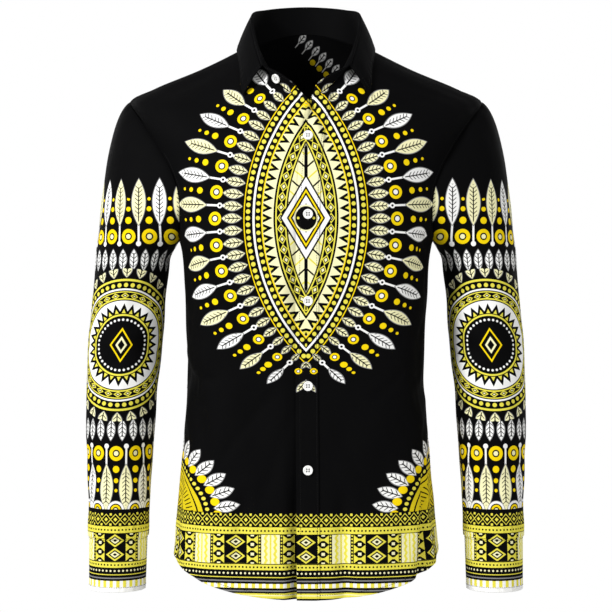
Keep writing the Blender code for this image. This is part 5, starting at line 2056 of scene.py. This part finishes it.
        # Rows that stand on the medallion, and their mirror images beneath it
        climb = abs(height - self.medallion_middle)
        outside = away.above(101.0) & height.below(-150.0)
        rows = Paint.plain(group.tree, inks.black)
        column = (across + 8.0).repeated(16.0)
        self.lay_leaf(rows, leaf, column, climb.scaled(1 / 30, -97 / 30), 6.4, 30.0, inks.white)
        column = across.repeated(28.0)
        self.lay_disc(rows, column, climb - 143.0, (
            (9.8, inks.yellow), (5.0, inks.black), (3.2, inks.cream),
        ))
        shifted = (across + 14.0).repeated(28.0)
        self.lay_disc(rows, shifted, climb - 133.5, ((3.4, inks.white),))
        rows.lay(abs(shifted).below(1.3) & climb.within(133.0, 162.0), inks.white)
        self.lay_leaf(rows, leaf, shifted, climb.scaled(1 / 64, -156 / 64), 10.1, 64.0, inks.white,
                      abs((across + 14.0).repeated(56.0)).above(14.0))
        for height_at, size in ((164.0, 4.6), (179.0, 3.2), (192.0, 2.2)):
            self.lay_disc(rows, column, climb - height_at, ((size, inks.yellow),))
        paint.lay(outside, rows)
        self.lay_disc(paint, across.repeated(28.0), height + 614.5, (
            (12.4, inks.grey), (11.6, inks.white), (8.6, inks.black), (7.0, inks.yellow),
            (4.2, inks.black), (2.6, inks.cream),
        ))
        paint.lay(height.below(-613.5), inks.black)
        lowered = (height + 722.0).scaled(1.008, -716.3)
        node = use_group(group.tree, border, Across=across, Height=lowered)
        paint.lay(height.below(-616.5), Paint(group.tree, node.outputs["Colour"]))
        check = abs(across.repeated(9.0)).below(2.25)
        paint.lay(height.below(-712.5), inks.lemon)
        paint.lay(check & height.below(-712.5), inks.white)
        paint.lay(height.below(-716.0), inks.white)
        group.give("Colour", paint)
        return group

    def neck(self, leaf: Group) -> Group:
        """A row inside the back, falling from the neck seam towards the wearer's left. Its leaves
        and discs are in dimmed white and yellow: print, with painted shade for the dark inside of the
        neck.

        Along runs down that line, and off is the distance above it.
        """
        inks = self.inks
        group = Group("Neck print")
        across, height = group.read("Across") * -1000 + 3.0, group.read("Height") * 1000 - 29.0
        along, off = across * 0.758 - height * 0.653, across * 0.653 + height * 0.758
        paint = Paint.plain(group.tree, inks.black)
        side = along.repeated(12.5)
        # Painted shade: the leaves and discs take the dimmed inks, as this row lies in the shade inside
        # the neck.
        self.lay_leaf(paint, leaf, side, off.scaled(1 / 17, 12 / 17), 4.6, 17.0, inks.pale)
        paint.lay(abs(side).below(0.7) & off.within(-19.0, -11.0), inks.pale)
        discs = (along + 6.2).repeated(12.5).length_with(off + 17.5).below(3.9)
        paint.lay(discs & along.above(25.0), inks.shaded_yellow)
        shown = Paint.plain(group.tree, inks.black)
        shown.lay(along.within(-6.2, 100.0), paint)
        group.give("Colour", shown)
        return group

    def weave(self) -> Group:
        """Height of a plain weave, from the weave map: threads cross over and under in turn."""
        group = Group("Weave", outputs=("Height",), output_kind="NodeSocketFloat")
        across, height = group.place()
        turn = math.tau / 1.1
        crossing = (across * turn).op("SINE") * (height * turn).op("SINE")
        group.give("Height", crossing.scaled(0.5, 0.5))
        return group


class Pattern(Enum):
    """Which print a cloth carries."""

    PLAIN = "plain"
    BODY = "body"
    SLEEVE = "sleeve"
    NECK = "neck"


@dataclass(frozen=True)
class ClothFinish:
    """A printed cotton: matt, with a faint sheen and a fine weave."""

    name: str
    pattern: Pattern
    lining: Pattern = Pattern.PLAIN
    inks: Inks = Inks()
    roughness: float = 0.72
    roughness_swing: float = 0.10
    sheen: float = 0.004
    sheen_roughness: float = 0.45
    specular: float = 0.03
    weave_depth: float = 0.00006
    reverse_dim: float = 0.95

    def build(self, groups: dict[Pattern, Group], weave: Group) -> Material:
        """Makes the material.

        Args:
            groups: The print groups.
            weave: The weave group.

        Returns:
            The material.
        """
        made = bpy.data.materials.new(self.name)
        made.use_nodes = True
        tree = made.node_tree
        nodes, links = tree.nodes, tree.links
        shader = nodes["Principled BSDF"]
        if self.pattern in groups:
            across, height = self.read_map(tree, "print")
            node = use_group(tree, groups[self.pattern], Across=across, Height=height)
            paint = Paint(tree, node.outputs["Colour"])
            side = nodes.new("ShaderNodeAttribute")
            side.attribute_name = "reverse"
            reverse = Signal(tree, side.outputs["Fac"])
            paint.lay(reverse * self.reverse_dim, self.inks.black)
            if self.lining in groups:
                node = use_group(tree, groups[self.lining], Across=across, Height=height)
                paint.lay(reverse.above(0.6), Paint(tree, node.outputs["Colour"]))
            links.new(paint.socket, shader.inputs["Base Color"])
        else:
            set_inputs(shader, {"Base Color": self.inks.black})
        place = nodes.new("ShaderNodeTexCoord")
        noise = nodes.new("ShaderNodeTexNoise")
        set_inputs(noise, {"Scale": 38.0, "Detail": 3.0})
        links.new(place.outputs["Object"], noise.inputs["Vector"])
        swing = Signal(tree, noise.outputs["Fac"]).scaled(
            self.roughness_swing, self.roughness - self.roughness_swing / 2
        )
        links.new(swing.socket, shader.inputs["Roughness"])
        set_inputs(shader, {
            "Sheen Weight": self.sheen, "Sheen Roughness": self.sheen_roughness,
            "Specular IOR Level": self.specular,
        })
        across, height = self.read_map(tree, "weave")
        node = use_group(tree, weave, Across=across, Height=height)
        bump = nodes.new("ShaderNodeBump")
        set_inputs(bump, {"Distance": self.weave_depth, "Strength": 0.6})
        links.new(node.outputs["Height"], bump.inputs["Height"])
        links.new(bump.outputs["Normal"], shader.inputs["Normal"])
        return made

    @staticmethod
    def read_map(tree: NodeTree, name: str) -> tuple[Signal, Signal]:
        """The two numbers of a UV map."""
        read = tree.nodes.new("ShaderNodeUVMap")
        read.uv_map = name
        split = tree.nodes.new("ShaderNodeSeparateXYZ")
        tree.links.new(read.outputs["UV"], split.inputs["Vector"])
        return Signal(tree, split.outputs["X"]), Signal(tree, split.outputs["Y"])


@dataclass(frozen=True)
class PlainFinish:
    """A finish of one colour."""

    name: str
    colour: Colour
    roughness: float
    specular: float = 0.4
    coat: float = 0.0

    def build(self) -> Material:
        """Makes the material."""
        made = bpy.data.materials.new(self.name)
        made.use_nodes = True
        set_inputs(made.node_tree.nodes["Principled BSDF"], {
            "Base Color": self.colour, "Roughness": self.roughness,
            "Specular IOR Level": self.specular, "Coat Weight": self.coat,
        })
        return made


def make_materials() -> dict[str, Material]:
    """Every finish of the shirt, by the key that the pieces ask for."""
    design = PrintDesign()
    leaf, border, weave = design.leaf(), design.border(), design.weave()
    groups = {
        Pattern.BODY: design.body(leaf, border),
        Pattern.SLEEVE: design.sleeve(leaf, border),
        Pattern.NECK: design.neck(leaf),
    }
    cloths = {
        "plain": ClothFinish("cloth_plain", Pattern.PLAIN),
        "body": ClothFinish("cloth_body", Pattern.BODY),
        "sleeve": ClothFinish("cloth_sleeve", Pattern.SLEEVE),
        "stand": ClothFinish("cloth_stand", Pattern.BODY, reverse_dim=1.0),
        # Its inner face carries the neck row, printed with painted shade.
        "yoke": ClothFinish("cloth_yoke", Pattern.BODY, Pattern.NECK),
    }
    return {key: cloth.build(groups, weave) for key, cloth in cloths.items()} | {
        "thread": PlainFinish("thread_black", (0.005, 0.005, 0.005), 0.6, 0.12).build(),
        "white_thread": PlainFinish("thread_white", (0.30, 0.30, 0.29), 0.6, 0.2).build(),
        "button": PlainFinish("button", (0.84, 0.84, 0.82), 0.22, 0.5, 0.3).build(),
    }


# Stage


@dataclass(frozen=True)
class Studio:
    """The pale floor, the soft lights and the camera."""

    floor_z: float = -1.2
    floor_radius: float = 1.6
    distance: float = 2.4
    camera_z: float = -0.3456
    aim_z: float = -0.35
    view_degrees: float = 19.53
    sensor: float = 36.0

    def build(self) -> None:
        """Sets the stage."""
        self.build_floor()
        self.build_light()
        self.build_camera()

    def build_floor(self) -> None:
        """A pale round floor below the frame."""
        angles = math.tau * np.arange(96) / 96
        points = side_by_side(np.cos(angles), np.sin(angles), 0 * angles)
        points = points * self.floor_radius + (0, 0, self.floor_z)
        mesh = bpy.data.meshes.new("floor")
        mesh.from_pydata(points.tolist(), [], [list(range(96))])
        mesh.materials.append(PlainFinish("floor", (0.82, 0.82, 0.82), 0.8).build())
        placed("floor", mesh)

    def build_light(self) -> None:
        """White behind the shirt to the camera, a dim even light, and large soft lamps."""
        world = bpy.data.worlds.new("studio")
        world.use_nodes = True
        nodes, links = world.node_tree.nodes, world.node_tree.links
        nodes.clear()
        seen, around = nodes.new("ShaderNodeBackground"), nodes.new("ShaderNodeBackground")
        set_inputs(seen, {"Color": (1.0, 1.0, 1.0)})
        set_inputs(around, {"Color": (1.0, 1.0, 1.0), "Strength": 0.37})
        path, mix = nodes.new("ShaderNodeLightPath"), nodes.new("ShaderNodeMixShader")
        out = nodes.new("ShaderNodeOutputWorld")
        links.new(path.outputs["Is Camera Ray"], mix.inputs["Fac"])
        links.new(around.outputs["Background"], mix.inputs[1])
        links.new(seen.outputs["Background"], mix.inputs[2])
        links.new(mix.outputs["Shader"], out.inputs["Surface"])
        bpy.context.scene.world = world
        bpy.context.scene.view_settings.view_transform = "Standard"
        lamps = (
            # name, place, power, size
            ("key", (-2.0, -1.9, 1.1), 96.0, 0.8),
            ("fill", (1.6, -2.1, 0.2), 20.0, 1.6),
            ("rim_left", (-1.6, 1.4, 0.5), 12.0, 1.2),
            ("rim_right", (1.6, 1.4, 0.5), 12.0, 1.2),
        )
        for name, place, power, size in lamps:
            data = bpy.data.lights.new(name, "AREA")
            data.energy, data.size, data.shape = power, size, "DISK"
            lamp = placed(name, data)
            lamp.location = place
            aim = Vector((0, 0, self.aim_z)) - Vector(place)
            lamp.rotation_euler = aim.to_track_quat("-Z", "Y").to_euler()

    def build_camera(self) -> None:
        """A level camera in front, whose field takes in what the photo shows."""
        data = bpy.data.cameras.new("camera")
        data.sensor_width = self.sensor
        data.lens = self.sensor / 2 / math.tan(math.radians(self.view_degrees / 2))
        camera = placed("camera", data)
        camera.location = (0, -self.distance, self.camera_z)
        camera.rotation_euler = (math.radians(90), 0, 0)
        bpy.context.scene.camera = camera


def main() -> None:
    """Loads the frame, builds the shirt on it, and sets the stage."""
    logging.basicConfig(level=logging.INFO)
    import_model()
    shop = Workshop(TorsoForm(), Cloth(), Sewing(), make_materials())
    panels, sleeves, collar = BodyPanels(), Sleeves(), Collar()
    panels.build(shop)
    cuffs = sleeves.build(shop, panels)
    stand = collar.build(shop, panels)
    Buttons().build(shop, collar, stand, sleeves, cuffs)
    sew_rows(shop)
    Studio().build()


if __name__ == "__main__":
    main()
